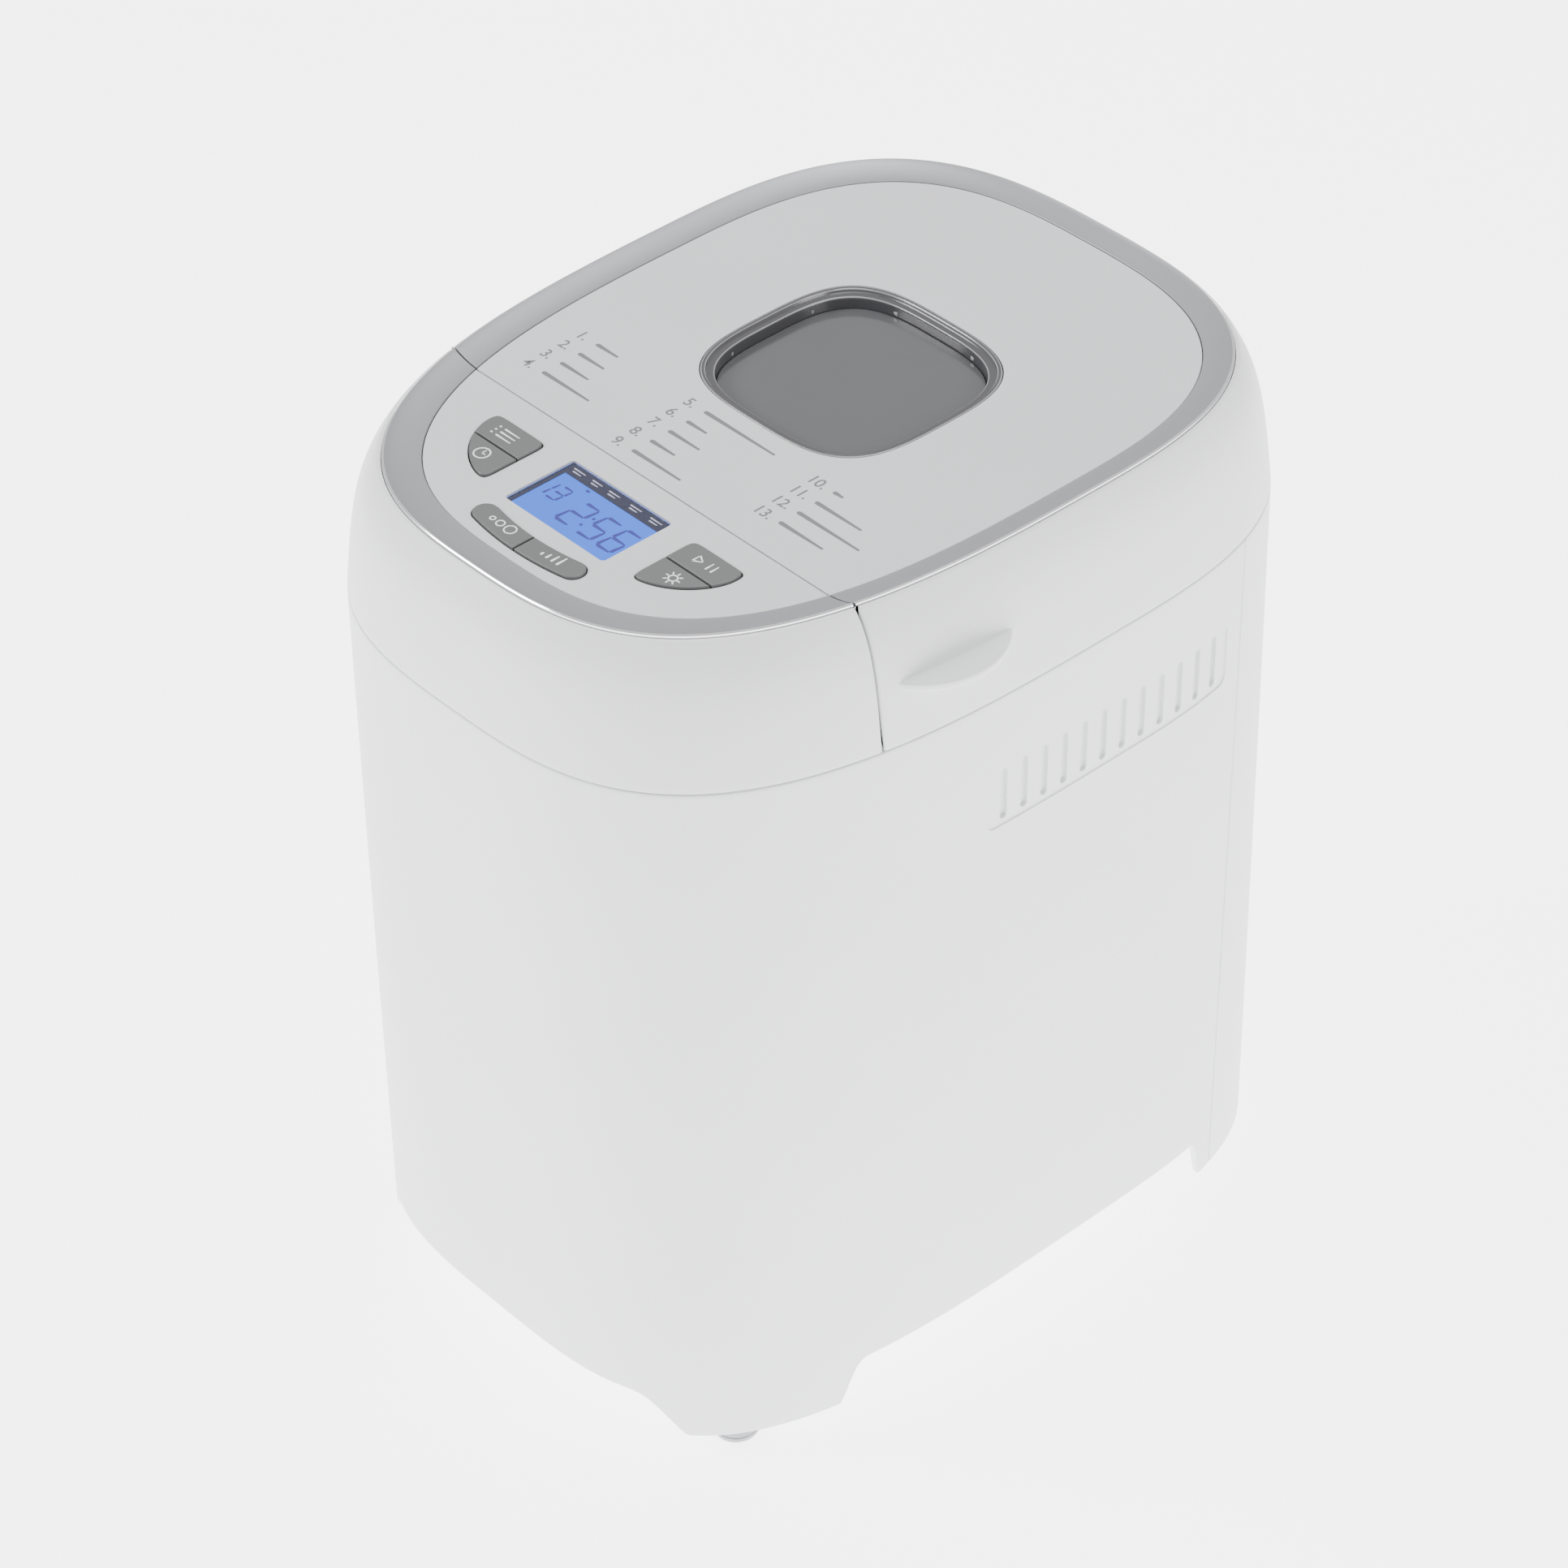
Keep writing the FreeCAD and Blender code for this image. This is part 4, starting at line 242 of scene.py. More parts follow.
def outline(bm, size, z, steps=240, middle=WIDEST):
    """A closed line round a rounded outline, given as half width, reach to front, reach to rear and power."""
    half, front, rear, power = size
    made = bmesh.ops.create_circle(bm, cap_ends=False, segments=steps, radius=1.0)["verts"]
    for v in made:
        c, s = v.co.x, v.co.y
        k = (abs(c) ** power + abs(s) ** power) ** (-1 / power)
        v.co = (half * c * k, middle + (rear if s > 0 else front) * s * k, z)
    return list({e for v in made for e in v.link_edges})


def skin(bm, rings, closed=True):
    """Bridge each ring to the next, and the last to the first."""
    pairs = list(zip(rings, rings[1:]))
    if closed:
        pairs.append((rings[-1], rings[0]))
    for a, b in pairs:
        bmesh.ops.bridge_loops(bm, edges=a + b)
    bmesh.ops.recalc_face_normals(bm, faces=bm.faces)


def grown(size, by):
    """An outline's measures, all larger by the same amount."""
    return tuple(value + by for value in size)


def rounding(radius, steps=3):
    """Steps of a quarter round as pairs of (inwards, onwards)."""
    turns = [radians(90 * k / steps) for k in range(steps + 1)]
    return [(radius * (cos(a) - cos(b)), radius * (sin(b) - sin(a))) for a, b in zip(turns, turns[1:])]


def round_off(bm, faces, radius, steps=3):
    """Raise faces by radius while they shrink, so that their edge is a quarter round."""
    for inwards, onwards in rounding(radius, steps):
        bmesh.ops.inset_region(bm, faces=faces, thickness=inwards, depth=onwards, use_boundary=True,
                               use_even_offset=True)


def part_at(bm, y, keep_front, radius):
    """Cut a hollow shell at a plane across Y, close its walls there and round their edges."""
    sign = 1 if keep_front else -1
    made = bmesh.ops.bisect_plane(bm, geom=bm.verts[:] + bm.edges[:] + bm.faces[:], dist=1e-4,
                                  plane_co=(0, y - sign * radius, 0), plane_no=(0, sign, 0), clear_outer=True)
    cut = [e for e in made["geom_cut"] if isinstance(e, bmesh.types.BMEdge)]
    caps = bmesh.ops.edgeloop_fill(bm, edges=cut)["faces"]
    bmesh.ops.recalc_face_normals(bm, faces=bm.faces)
    round_off(bm, caps, radius)


def slice_off(bm, point, normal):
    """Take away what lies beyond a plane from flat faces."""
    bmesh.ops.bisect_plane(bm, geom=bm.verts[:] + bm.edges[:] + bm.faces[:], dist=1e-4, plane_co=point,
                           plane_no=normal, clear_outer=True)


def thicken(bm, height):
    """Raise flat faces into a closed block and return its top."""
    tops = bmesh.ops.extrude_face_region(bm, geom=bm.faces[:])["geom"]
    bmesh.ops.translate(bm, vec=(0, 0, height), verts=[v for v in tops if isinstance(v, bmesh.types.BMVert)])
    bmesh.ops.recalc_face_normals(bm, faces=bm.faces)
    return [f for f in tops if isinstance(f, bmesh.types.BMFace)]


def block_object(bm):
    """Turn a bmesh into an object for a short while."""
    mesh = bpy.data.meshes.new("block")
    bm.to_mesh(mesh)
    bm.free()
    made = bpy.data.objects.new("block", mesh)
    bpy.context.collection.objects.link(made)
    return made


def carve(bm, tools):
    """Take the closed shapes in tools out of the closed shape in bm."""
    target, tool = block_object(bm), block_object(tools)
    cutter = target.modifiers.new("carve", "BOOLEAN")
    cutter.operation, cutter.solver, cutter.object = "DIFFERENCE", "EXACT", tool
    bpy.context.view_layer.update()
    result = bpy.data.meshes.new_from_object(target.evaluated_get(bpy.context.evaluated_depsgraph_get()))
    carved = bmesh.new()
    carved.from_mesh(result)
    for thing in (target, tool):
        mesh = thing.data
        bpy.data.objects.remove(thing)
        bpy.data.meshes.remove(mesh)
    bpy.data.meshes.remove(result)
    return carved


def finish(name, bm, body, paints, slot, replaces=(), turn=38.0, weighted=True):
    """Make the piece: metres, smooth shading with sharp corners past turn, and its body and paint. The slot argument
    is not used.
    """
    bmesh.ops.scale(bm, vec=(MM, MM, MM), verts=bm.verts)
    mesh = bpy.data.meshes.new(name)
    bm.to_mesh(mesh)
    bm.free()
    mesh.shade_smooth()
    mesh.set_sharp_from_angle(angle=radians(turn))
    made = bpy.data.objects.new(name, mesh)
    bpy.context.collection.objects.link(made)
    for paint in [paints] if isinstance(paints, str) else paints:
        mesh.materials.append(PAINTS[paint])
    if weighted:
        weigh = made.modifiers.new("weighted", "WEIGHTED_NORMAL")
        weigh.keep_sharp, weigh.weight = True, 50
    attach(made, body)
    if replaces:
        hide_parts(*replaces)
    return made


# ---------------------------------------------------------------- casing

def casing_size(z, inset=0.0):
    """The casing's outline at a height: it narrows and squares up a little towards the foot."""
    share = (SEAM - z) / (SEAM - BOTTOM)
    return tuple(a - taper * share - inset for a, taper in zip(CASING, (5.0, 1.2, 1.5))) + (3.05 + 0.5 * share,)


def arch_rise(u):
    """Rise of an arch from its foot (0) to its crown (1), steep at the foot and level at the crown."""
    if u <= 0 or u >= 1:
        return float(u >= 1)
    low, high = 0.0, 1.0
    for _ in range(20):
        t = (low + high) / 2
        run = 3 * (1 - t) ** 2 * t * 0.45 + 3 * (1 - t) * t * t * 0.6 + t ** 3
        low, high = (t, high) if run < u else (low, t)
    return 3 * (1 - t) ** 2 * t * 0.8 + 3 * (1 - t) * t * t + t ** 3


def foot_height(x, y):
    """Height of the casing's bottom edge: skirts at the corners and an arch on each side."""
    if y < FOOT_FRONT:
        rise = arch_rise((FRONT_ARCH[0] - abs(x)) / FRONT_ARCH[1])
    elif y > FOOT_REAR:
        rise = arch_rise((REAR_ARCH[0] - abs(x)) / REAR_ARCH[1])
    else:
        rise = min(arch_rise((y + SIDE_ARCH) / SIDE_ARCH_RUNS[0]), arch_rise((SIDE_ARCH - y) / SIDE_ARCH_RUNS[1]))
    return SKIRT + (BOTTOM - SKIRT) * rise


def casing_ring(bm, inset, lift=None, z=None):
    """A line round the casing: at a height z, or along the bottom edge and lifted above it."""
    edges = outline(bm, casing_size(z if z is not None else BOTTOM, inset), z or 0.0, 720)
    if z is None:
        for v in {v for e in edges for v in e.verts}:
            v.co.z = foot_height(v.co.x, v.co.y) + lift
    return edges


def casing_shell():
    """The whole casing as a closed skin: bottom edge, outside, seam and inside."""
    bm = bmesh.new()
    rings = [casing_ring(bm, 0.7, lift=0.0), casing_ring(bm, 0.2, lift=0.2), casing_ring(bm, 0.0, lift=0.7)]
    rings += [casing_ring(bm, 0.0, z=z) for z in (27, 32, 45, 80, 130, 180, 208, 224, 253.5, 262, 270, 275.5, 277.0)]
    rings += [casing_ring(bm, 0.18, z=277.42), casing_ring(bm, 0.6, z=SEAM), casing_ring(bm, WALL - 0.2, z=SEAM),
              casing_ring(bm, WALL, z=277.2), casing_ring(bm, WALL, z=30.0), casing_ring(bm, WALL, lift=0.3),
              casing_ring(bm, WALL - 0.3, lift=0.0)]
    skin(bm, rings)
    return bm


def trace(bm, faces, centre, along, half, radius, steps=16):
    """Cut a rounded rectangle into faces and return the faces inside it."""
    u, v = (Vector(axis) for axis in along)
    geom = faces + list({e for f in faces for e in f.edges}) + list({c for f in faces for c in f.verts})
    sides = []
    for k in range(steps):
        c, s = round(cos(2 * pi * k / steps), 9), round(sin(2 * pi * k / steps), 9)
        corner = [(reach - radius) * ((way > 0) - (way < 0)) for reach, way in zip(half, (c, s))]
        normal = u * c + v * s
        point = Vector(centre) + u * corner[0] + v * corner[1] + radius * normal
        geom = bmesh.ops.bisect_plane(bm, geom=geom, dist=1e-4, plane_co=point, plane_no=normal)["geom"]
        sides.append((point, normal))
    return [f for f in geom if isinstance(f, bmesh.types.BMFace)
            and all((f.calc_center_median() - point).dot(normal) < 0 for point, normal in sides)]


def sink(bm, faces, side, depth, edge=0.1):
    """Press faces straight in, with a small round at the rim and at the floor."""
    for inwards, onwards in ((edge * 0.3, edge * 0.7), (edge * 0.7, edge * 0.3), (0.04, depth - 2 * edge),
                             (edge * 0.7, edge * 0.3), (edge * 0.3, edge * 0.7)):
        made = bmesh.ops.extrude_face_region(bm, geom=faces)["geom"]
        verts = [v for v in made if isinstance(v, bmesh.types.BMVert)]
        bmesh.ops.delete(bm, geom=faces, context="FACES")
        faces = [f for f in made if isinstance(f, bmesh.types.BMFace)]
        ys, zs = [v.co.y for v in verts], [v.co.z for v in verts]
        wide, tall = max(ys) - min(ys), max(zs) - min(zs)
        middle = Matrix.Translation((0, -(max(ys) + min(ys)) / 2, -(max(zs) + min(zs)) / 2))
        bmesh.ops.scale(bm, vec=(1, 1 - 2 * inwards / wide, 1 - 2 * inwards / tall), space=middle, verts=verts)
        bmesh.ops.translate(bm, vec=(-side * onwards, 0, 0), verts=verts)


def side_faces(bm, side, y0, y1, z0, z1):
    """Faces of the outer skin on one side within a band."""
    found = []
    for f in bm.faces:
        at = f.calc_center_median()
        if side * f.normal.x > 0.3 and side * at.x > 60 and y0 < at.y < y1 and z0 < at.z < z1:
            found.append(f)
    return found


housing = casing_shell()
part_at(housing, JOINT - JOINT_GAP / 2, True, 0.35)
UPRIGHT = ((0, 1, 0), (0, 0, 1))
for side in (-1, 1):
    panel_faces = side_faces(housing, side, -32, 88.5, 224, 253.5)
    sink(housing, trace(housing, panel_faces, (0, WIDEST, VENT_Z), UPRIGHT, VENT_FRAME, 3.5), side, 0.45)
    for k in range(12):
        y = -20.4 + 8.53 * k
        near = side_faces(housing, side, y - 2.6, y + 2.6, 227.5, 250)
        sink(housing, trace(housing, near, (0, y, VENT_Z), UPRIGHT, VENT_SLOT, 1.5), side, 1.3)
finish("housing_shell", housing, "base", "white_plastic", "white_plastic", ["housing"])

# ---------------------------------------------------------------- rear cover

rear = casing_shell()
part_at(rear, JOINT + JOINT_GAP / 2, False, 0.35)
ACROSS = ((1, 0, 0), (0, 0, 1))


def pierce(bm, centre, half, radius, steps=16):
    """Open a rounded hole through both skins of the back wall and line it."""
    near = [f for f in bm.faces if f.calc_center_median().y > 100
            and abs(f.calc_center_median().x - centre[0]) < half[0] + 3 and abs(f.normal.y) > 0.3]
    inside = trace(bm, near, centre, ACROSS, half, radius, steps)
    rims = {e for f in inside for e in f.edges if any(g not in inside for g in e.link_faces)}
    bmesh.ops.delete(bm, geom=inside, context="FACES")
    bmesh.ops.bridge_loops(bm, edges=[e for e in rims if e.is_valid])


def hinge_barrel(bm, x, length, web, web_size):
    """A hinge barrel and the web that joins it to its shell, given by the web's (y, z) and size."""
    bmesh.ops.create_cone(bm, cap_ends=True, segments=40, radius1=HINGE_RADIUS, radius2=HINGE_RADIUS, depth=length,
                          matrix=Matrix.Translation((x, HINGE_Y, HINGE_Z)) @ Matrix.Rotation(pi / 2, 4, "Y"))
    bmesh.ops.create_cube(bm, size=1.0, matrix=Matrix.Translation((x, *web))
                          @ Matrix.Diagonal((length, *web_size, 1.0)))


for k in range(13):
    pierce(rear, (9.0 * (k - 6), 0, 223.6), (1.6, 13.0), 0.5, 8)
pierce(rear, (55, 0, 50), (5.8, 5.8), 5.8, 24)
bmesh.ops.recalc_face_normals(rear, faces=rear.faces)
for side in (-1, 1):
    hinge_barrel(rear, HINGE_X * side, 14.0, (141.9, 272.5), (5.4, 2.6))
finish("rear_cover_shell", rear, "base", "white_plastic", "white_plastic", ["rear_cover"])

# ---------------------------------------------------------------- top: control housing and lid shell

def shoulder_share(depth):
    """How far the shoulder has swept out at a depth below the top, from 0 to 1."""
    def turn(d):
        return 1 - exp(-d / 10.3) + 0.52 * d / SHOULDER_DEPTH
    return turn(depth) / turn(SHOULDER_DEPTH)


def shoulder_size(z, inset=0.0):
    """The outline of the rounded top at a height, between the trim ring and the casing."""
    share = shoulder_share(TOP - z)
    low = grown(TRIM, 0.15)
    return tuple(a + (b - a) * share - inset for a, b in zip(low, CASING)) + (2.9 + 0.15 * share,)


def top_shell():
    """The rounded top as a hollow ring: outside, seat of the trim, ledge, and inside."""
    bm = bmesh.new()
    low = SEAM + SEAM_GAP
    path = [(low, 0.6), (low + 0.18, 0.18), (low + 0.6, 0.0), (281, 0), (286, 0), (291, 0), (296, 0), (300, 0),
            (304, 0), (307.5, 0), (310.5, 0), (313, 0), (315, 0), (317, 0), (318.8, 0), (320.4, 0), (321.8, 0),
            (323.0, 0), (324.0, 0), (324.7, 0), (325.15, 0)]
    rings = [outline(bm, shoulder_size(z, inset), z) for z, inset in path]
    power = (TRIM_POWER,)
    rings += [outline(bm, grown(TRIM, by) + power, z)
              for by, z in ((0.62, 325.42), (0.3, SHOULDER_TOP), (0.15, 325.35), (0.15, LEDGE))]
    rings += [outline(bm, grown(TRIM_IN, -2.4) + power, z) for z in (LEDGE, LEDGE - 2.4)]
    rings += [outline(bm, shoulder_size(z, WALL), z) for z in (LEDGE - 2.4, 308.0, 294.0, low + 0.4)]
    rings += [outline(bm, shoulder_size(low, WALL - 0.3), low)]
    skin(bm, rings)
    return bm


controls = top_shell()
part_at(controls, SPLIT - SPLIT_GAP / 2, True, 0.8)
finish("control_housing_shell", controls, "base", "white_plastic", "white_plastic", ["control_housing"])

lid = top_shell()
part_at(lid, SPLIT + SPLIT_GAP / 2, False, 0.8)
for side in (-1, 1):
    for middle in LID_BARRELS:
        hinge_barrel(lid, middle * side, 8.0, (144.0, 279.2), (8.0, 5.0))
finish("lid_cover", lid, "lid", "white_plastic", "white_plastic", ["lid_shell"])


def shoulder_x(y, z):
    """Half width of the rounded top at a y ahead of the widest line."""
    half, front, rear, power = shoulder_size(z)
    return half * (1 - (abs(y - WIDEST) / front) ** power) ** (1 / power)


def half_moon(side):
    """Half-moon finger grip: a flat-topped ledge with a rounded rim, out of the lid's side."""
    bm = bmesh.new()
    chord, out, middle = 21.0, 9.8, -36.5
    radius = (chord ** 2 + out ** 2) / (2 * out)
    bmesh.ops.create_circle(bm, cap_ends=True, segments=220, radius=radius,
                            matrix=Matrix.Translation((shoulder_x(middle, 300.0) + out - radius, middle, 297.9)))
    ends = [Vector((shoulder_x(middle + way * chord, 300.0) - 1.4, middle + way * chord, 0)) for way in (-1, 1)]
    run = (ends[1] - ends[0]).normalized()
    slice_off(bm, ends[0], (-run.y, run.x, 0))
    tops = thicken(bm, 1.0)
    lows = [f for f in bm.faces if f.normal.z < -0.9]
    round_off(bm, tops, 1.1, 5)
    round_off(bm, lows, 1.1, 5)
    bmesh.ops.scale(bm, vec=(side, 1, 1), verts=bm.verts)
    bmesh.ops.recalc_face_normals(bm, faces=bm.faces)
    return bm


for side, word in ((-1, "left"), (1, "right")):
    finish(f"finger_grip_{word}", half_moon(side), "lid", "white_plastic", "white_plastic")

# ---------------------------------------------------------------- trim ring

def ring_shell():
    """Trim ring: bright outer rim, face that dips towards the inside, and a bright inner edge."""
    bm = bmesh.new()
    power, low = (TRIM_POWER,), LEDGE + 0.05
    rings = [outline(bm, grown(TRIM, -0.05) + power, low), outline(bm, TRIM + power, 325.6)]
    rings += [outline(bm, grown(TRIM, -by) + power, z) for by, z in ((0.1, 326.2), (0.35, 326.45), (0.8, TOP))]
    for k in range(1, 9):
        t = k / 9
        size = tuple(a - 0.8 + (b - a + 1.3) * t for a, b in zip(TRIM, TRIM_IN))
        rings.append(outline(bm, size + power, TOP - 0.25 - (TOP - 0.25 - RING_IN) * (1.6 * t - 0.6 * t * t)))
    rings += [outline(bm, grown(TRIM_IN, by) + power, z)
              for by, z in ((0.45, RING_IN), (0.15, RING_IN + 0.02), (0.0, RING_IN - 0.12), (0.0, low))]
    skin(bm, rings)
    for f in bm.faces:
        middle = f.calc_center_median()
        reach = ring_reach(middle)
        f.material_index = 1 if reach > -0.9 or reach < ring_width(middle) + 0.3 else 0
    return bm


def ring_reach(point):
    """How far a point lies outside the ring's outer line, roughly, in millimetres."""
    front = TRIM[2] if point.y > WIDEST else TRIM[1]
    x, y = abs(point.x) / TRIM[0], abs(point.y - WIDEST) / front
    size = (x ** TRIM_POWER + y ** TRIM_POWER) ** (1 / TRIM_POWER)
    return (size - 1) * sqrt(point.x ** 2 + (point.y - WIDEST) ** 2)


def ring_width(point):
    """Where the ring's inner line lies in the same measure at that point's bearing."""
    front, inner = (TRIM[2], TRIM_IN[2]) if point.y > WIDEST else (TRIM[1], TRIM_IN[1])
    x, y = abs(point.x), abs(point.y - WIDEST)
    size = (x / TRIM[0]) ** TRIM_POWER + (y / front) ** TRIM_POWER
    inside = (x / TRIM_IN[0]) ** TRIM_POWER + (y / inner) ** TRIM_POWER
    far = sqrt(x * x + y * y)
    return ((size / inside) ** (1 / TRIM_POWER) - 1) * far / (size ** (1 / TRIM_POWER))


for name, body, front, node in (("control_trim_ring", "base", True, "control_trim"),
                                ("lid_trim_ring", "lid", False, "lid_trim")):
    ring = ring_shell()
    part_at(ring, SPLIT - SPLIT_GAP / 2 if front else SPLIT + SPLIT_GAP / 2, front, 0.15)
    finish(name, ring, body, ["silver_trim", "bright_edge"], "silver_trim", [node], turn=30.0)

# ---------------------------------------------------------------- panels

def flat_outline(bm, points):
    """Join points into a closed line."""
    verts = [bm.verts.new(p) for p in points]
    return [bm.edges.new((a, b)) for a, b in zip(verts, verts[1:] + verts[:1])]


def right_key(bm, grow, z):
    """The outline of both right-hand keys together: straight sides, a round outer side, soft corners."""
    bmesh.ops.create_circle(bm, cap_ends=True, segments=160, radius=27.5 + grow,
                            matrix=Matrix.Translation((31.0, -75.9, z)))
    for point, normal in (((34.5 - grow, 0, 0), (-1, 0, 0)), ((57.2 + grow, 0, 0), (1, 0, 0)),
                          ((0, -78.0 + grow, 0), (0, 1, 0))):
        slice_off(bm, point, normal)
    soft_corners(bm, 14)


def soft_corners(bm, rounds):
    """Round the corners of a flat face by dividing its outline finely and easing it."""
    bmesh.ops.remove_doubles(bm, verts=bm.verts, dist=0.3)
    for e in bm.edges[:]:
        if e.calc_length() > 1.6:
            bmesh.ops.subdivide_edges(bm, edges=[e], cuts=int(e.calc_length() / 0.8))
    for _ in range(rounds):
        bmesh.ops.smooth_vert(bm, verts=bm.verts, factor=0.5, use_axis_x=True, use_axis_y=True)


def bar_key(bm, grow, z):
    """The outline of both bar keys together: a bar with round ends, bent towards the rear."""
    radius, half, bend = 4.15 + grow, 20.3, 105.0
    made = bmesh.ops.create_circle(bm, cap_ends=True, segments=48, radius=radius,
                                   matrix=Matrix.Rotation(pi / 48, 4, "Z"))["verts"]
    for v in made:
        v.co.x += half if v.co.x > 0 else -half
    for k in range(-9, 10):
        bmesh.ops.bisect_plane(bm, geom=bm.verts[:] + bm.edges[:] + bm.faces[:], dist=1e-4,
                               plane_co=(2.0 * k, 0, 0), plane_no=(1, 0, 0))
    bmesh.ops.dissolve_faces(bm, faces=bm.faces[:], use_verts=False)
    for v in bm.verts:
        angle, reach = v.co.x / bend, bend - v.co.y
        v.co = (reach * sin(angle), -115.6 + bend - reach * cos(angle), z)


def display_patch(bm, grow, z):
    """The display's flat outline: a rectangle with softly rounded corners."""
    bmesh.ops.create_grid(bm, x_segments=1, y_segments=1, size=1.0)
    bmesh.ops.scale(bm, vec=(DISPLAY[0] + grow, DISPLAY[1] + grow, 1), verts=bm.verts)
    bmesh.ops.translate(bm, vec=(0, DISPLAY_Y, z), verts=bm.verts)
    bmesh.ops.bevel(bm, geom=bm.verts[:], affect="VERTICES", offset=1.5 + grow, segments=5, profile=0.5,
                    material=-1)


def pour(bm, part):
    """Add a finished shape to another."""
    mesh = bpy.data.meshes.new("pour")
    part.to_mesh(mesh)
    part.free()
    bm.from_mesh(mesh)
    bpy.data.meshes.remove(mesh)


def panel(front):
    """Panel inside the trim ring, on one side of the split, with a softly rounded top edge."""
    bm = bmesh.new()
    outline(bm, grown(TRIM_IN, -0.25) + (TRIM_POWER,), LEDGE + 0.05)
    bmesh.ops.edgeloop_fill(bm, edges=bm.edges[:])
    y = SPLIT - SPLIT_GAP / 2 if front else SPLIT + SPLIT_GAP / 2
    slice_off(bm, (0, y, 0), (0, 1 if front else -1, 0))
    top = thicken(bm, PANEL_TOP - LEDGE - 0.05 - 0.3)
    round_off(bm, top, 0.3)
    return bm


control = panel(True)
tools = bmesh.new()
for draw, grow, mirror in ((right_key, KEY_HOLE, 1), (right_key, KEY_HOLE, -1), (bar_key, KEY_HOLE, 1),
                           (display_patch, 0.0, 1)):
    part = bmesh.new()
    draw(part, grow, LEDGE - 2)
    bmesh.ops.scale(part, vec=(mirror, 1, 1), verts=part.verts)
    thicken(part, 8.0)
    pour(tools, part)
finish("control_panel_plate", carve(control, tools), "base", "white_panel", "white_panel", ["control_panel"],
       turn=50.0)

lid_plate = panel(False)
tools = bmesh.new()
outline(tools, grown(WINDOW, 0.25) + (WINDOW_POWER,), LEDGE - 2, 160, WINDOW_Y)
bmesh.ops.edgeloop_fill(tools, edges=tools.edges[:])
thicken(tools, 8.0)
finish("lid_panel_plate", carve(lid_plate, tools), "lid", "white_panel", "white_panel", ["lid_panel"], turn=50.0)

# ---------------------------------------------------------------- window

bezel = bmesh.new()
path = [(0.0, 303.0), (0.0, 323.3), (-0.2, 323.6), (-0.5, 323.7), (-1.2, 323.65), (-1.5, 323.35), (-1.7, 322.8),
        (-2.0, 322.5), (-3.3, 322.4), (-3.7, 322.35), (-4.0, 322.1), (-4.15, 321.6), (-4.3, 318.4), (-4.35, 303.0)]
skin(bezel, [outline(bezel, grown(WINDOW, by) + (WINDOW_POWER,), z, 160, WINDOW_Y) for by, z in path])
# Up-facing faces of the rim's rounded flanks and of the inner step take the lighter grey: a painted highlight along
# the bezel's edges.
for f in bezel.faces:
    z = f.calc_center_median().z
    f.material_index = 1 if (f.normal.z > 0.3 and (323.4 < z < 323.66 or 321.9 < z < 322.35)) else 0
finish("window_bezel", bezel, "lid", ["window_plastic", "window_edge"], "window_plastic", ["window_frame"])

pane = bmesh.new()
outline(pane, grown(WINDOW, -4.4) + (WINDOW_POWER,), 315.4, 160, WINDOW_Y)
bmesh.ops.edgeloop_fill(pane, edges=pane.edges[:])
round_off(pane, thicken(pane, 2.6), 0.4)
finish("window_pane", pane, "lid", "smoked_glass", "smoked_glass", ["window_glass"])

tabs = bmesh.new()
for across, turned in ((36.9, True), (36.0, False)):
    for way in (-1, 1):
        for along in (-19.0, 19.0):
            made = bmesh.ops.create_cube(tabs, size=1.0)["verts"]
            bmesh.ops.scale(tabs, vec=(0.9, 4.6, 1.4) if turned else (4.6, 0.9, 1.4), verts=made)
            place = (way * across, along) if turned else (along, way * across)
            bmesh.ops.translate(tabs, vec=(place[0], WINDOW_Y + place[1], 319.6), verts=made)
bmesh.ops.bevel(tabs, geom=tabs.edges[:], affect="EDGES", offset=0.3, segments=3, profile=0.5, material=-1)
finish("window_clips", tabs, "lid", "window_edge", "window_plastic")

# ---------------------------------------------------------------- keys

def turn_at(v):
    """How sharply an outline turns at a vertex."""
    before, after = (e.other_vert(v).co - v.co for e in v.link_edges)
    return before.angle(-after)


def clear_corners(bm, reach=1.0):
    """Take away the outline's points next to its sharp corners, so that the corners inset cleanly."""
    corners = [v for v in bm.verts if turn_at(v) > radians(25)]
    near = [v for v in bm.verts if v not in corners and any((v.co - c.co).length < reach for c in corners)]
    bmesh.ops.dissolve_verts(bm, verts=near)


def key_block(bm):
    """Make a key's flat outline into a block with a rounded top edge."""
    clear_corners(bm)
    bmesh.ops.translate(bm, verts=bm.verts, vec=(0, 0, KEY_FOOT))
    round_off(bm, thicken(bm, KEY_TOP - KEY_FOOT - 0.5), 0.5, 4)


KEYS = {"menu": (-1, "rear"), "time": (-1, "front"), "start": (1, "rear"), "setting": (1, "front")}
for word, (mirror, end) in KEYS.items():
    bm = bmesh.new()
    right_key(bm, 0.0, 0.0)
    way = 1 if end == "rear" else -1
    slice_off(bm, (0, KEY_SPLIT + KEY_HALF_GAP * way, 0), (0, -way, 0))
    bmesh.ops.scale(bm, vec=(mirror, 1, 1), verts=bm.verts)
    bmesh.ops.recalc_face_normals(bm, faces=bm.faces)
    key_block(bm)
    finish(f"{word}_key", bm, f"{word}_button", "grey_key", "grey_key", [f"{word}_button"])
for word, sign in (("size", -1), ("browning", 1)):
    bm = bmesh.new()
    bar_key(bm, 0.0, 0.0)
    slice_off(bm, (KEY_HALF_GAP * sign, 0, 0), (-sign, 0, 0))
    key_block(bm)
    finish(f"{word}_key", bm, f"{word}_button", "grey_key", "grey_key", [f"{word}_button"])

# ---------------------------------------------------------------- display

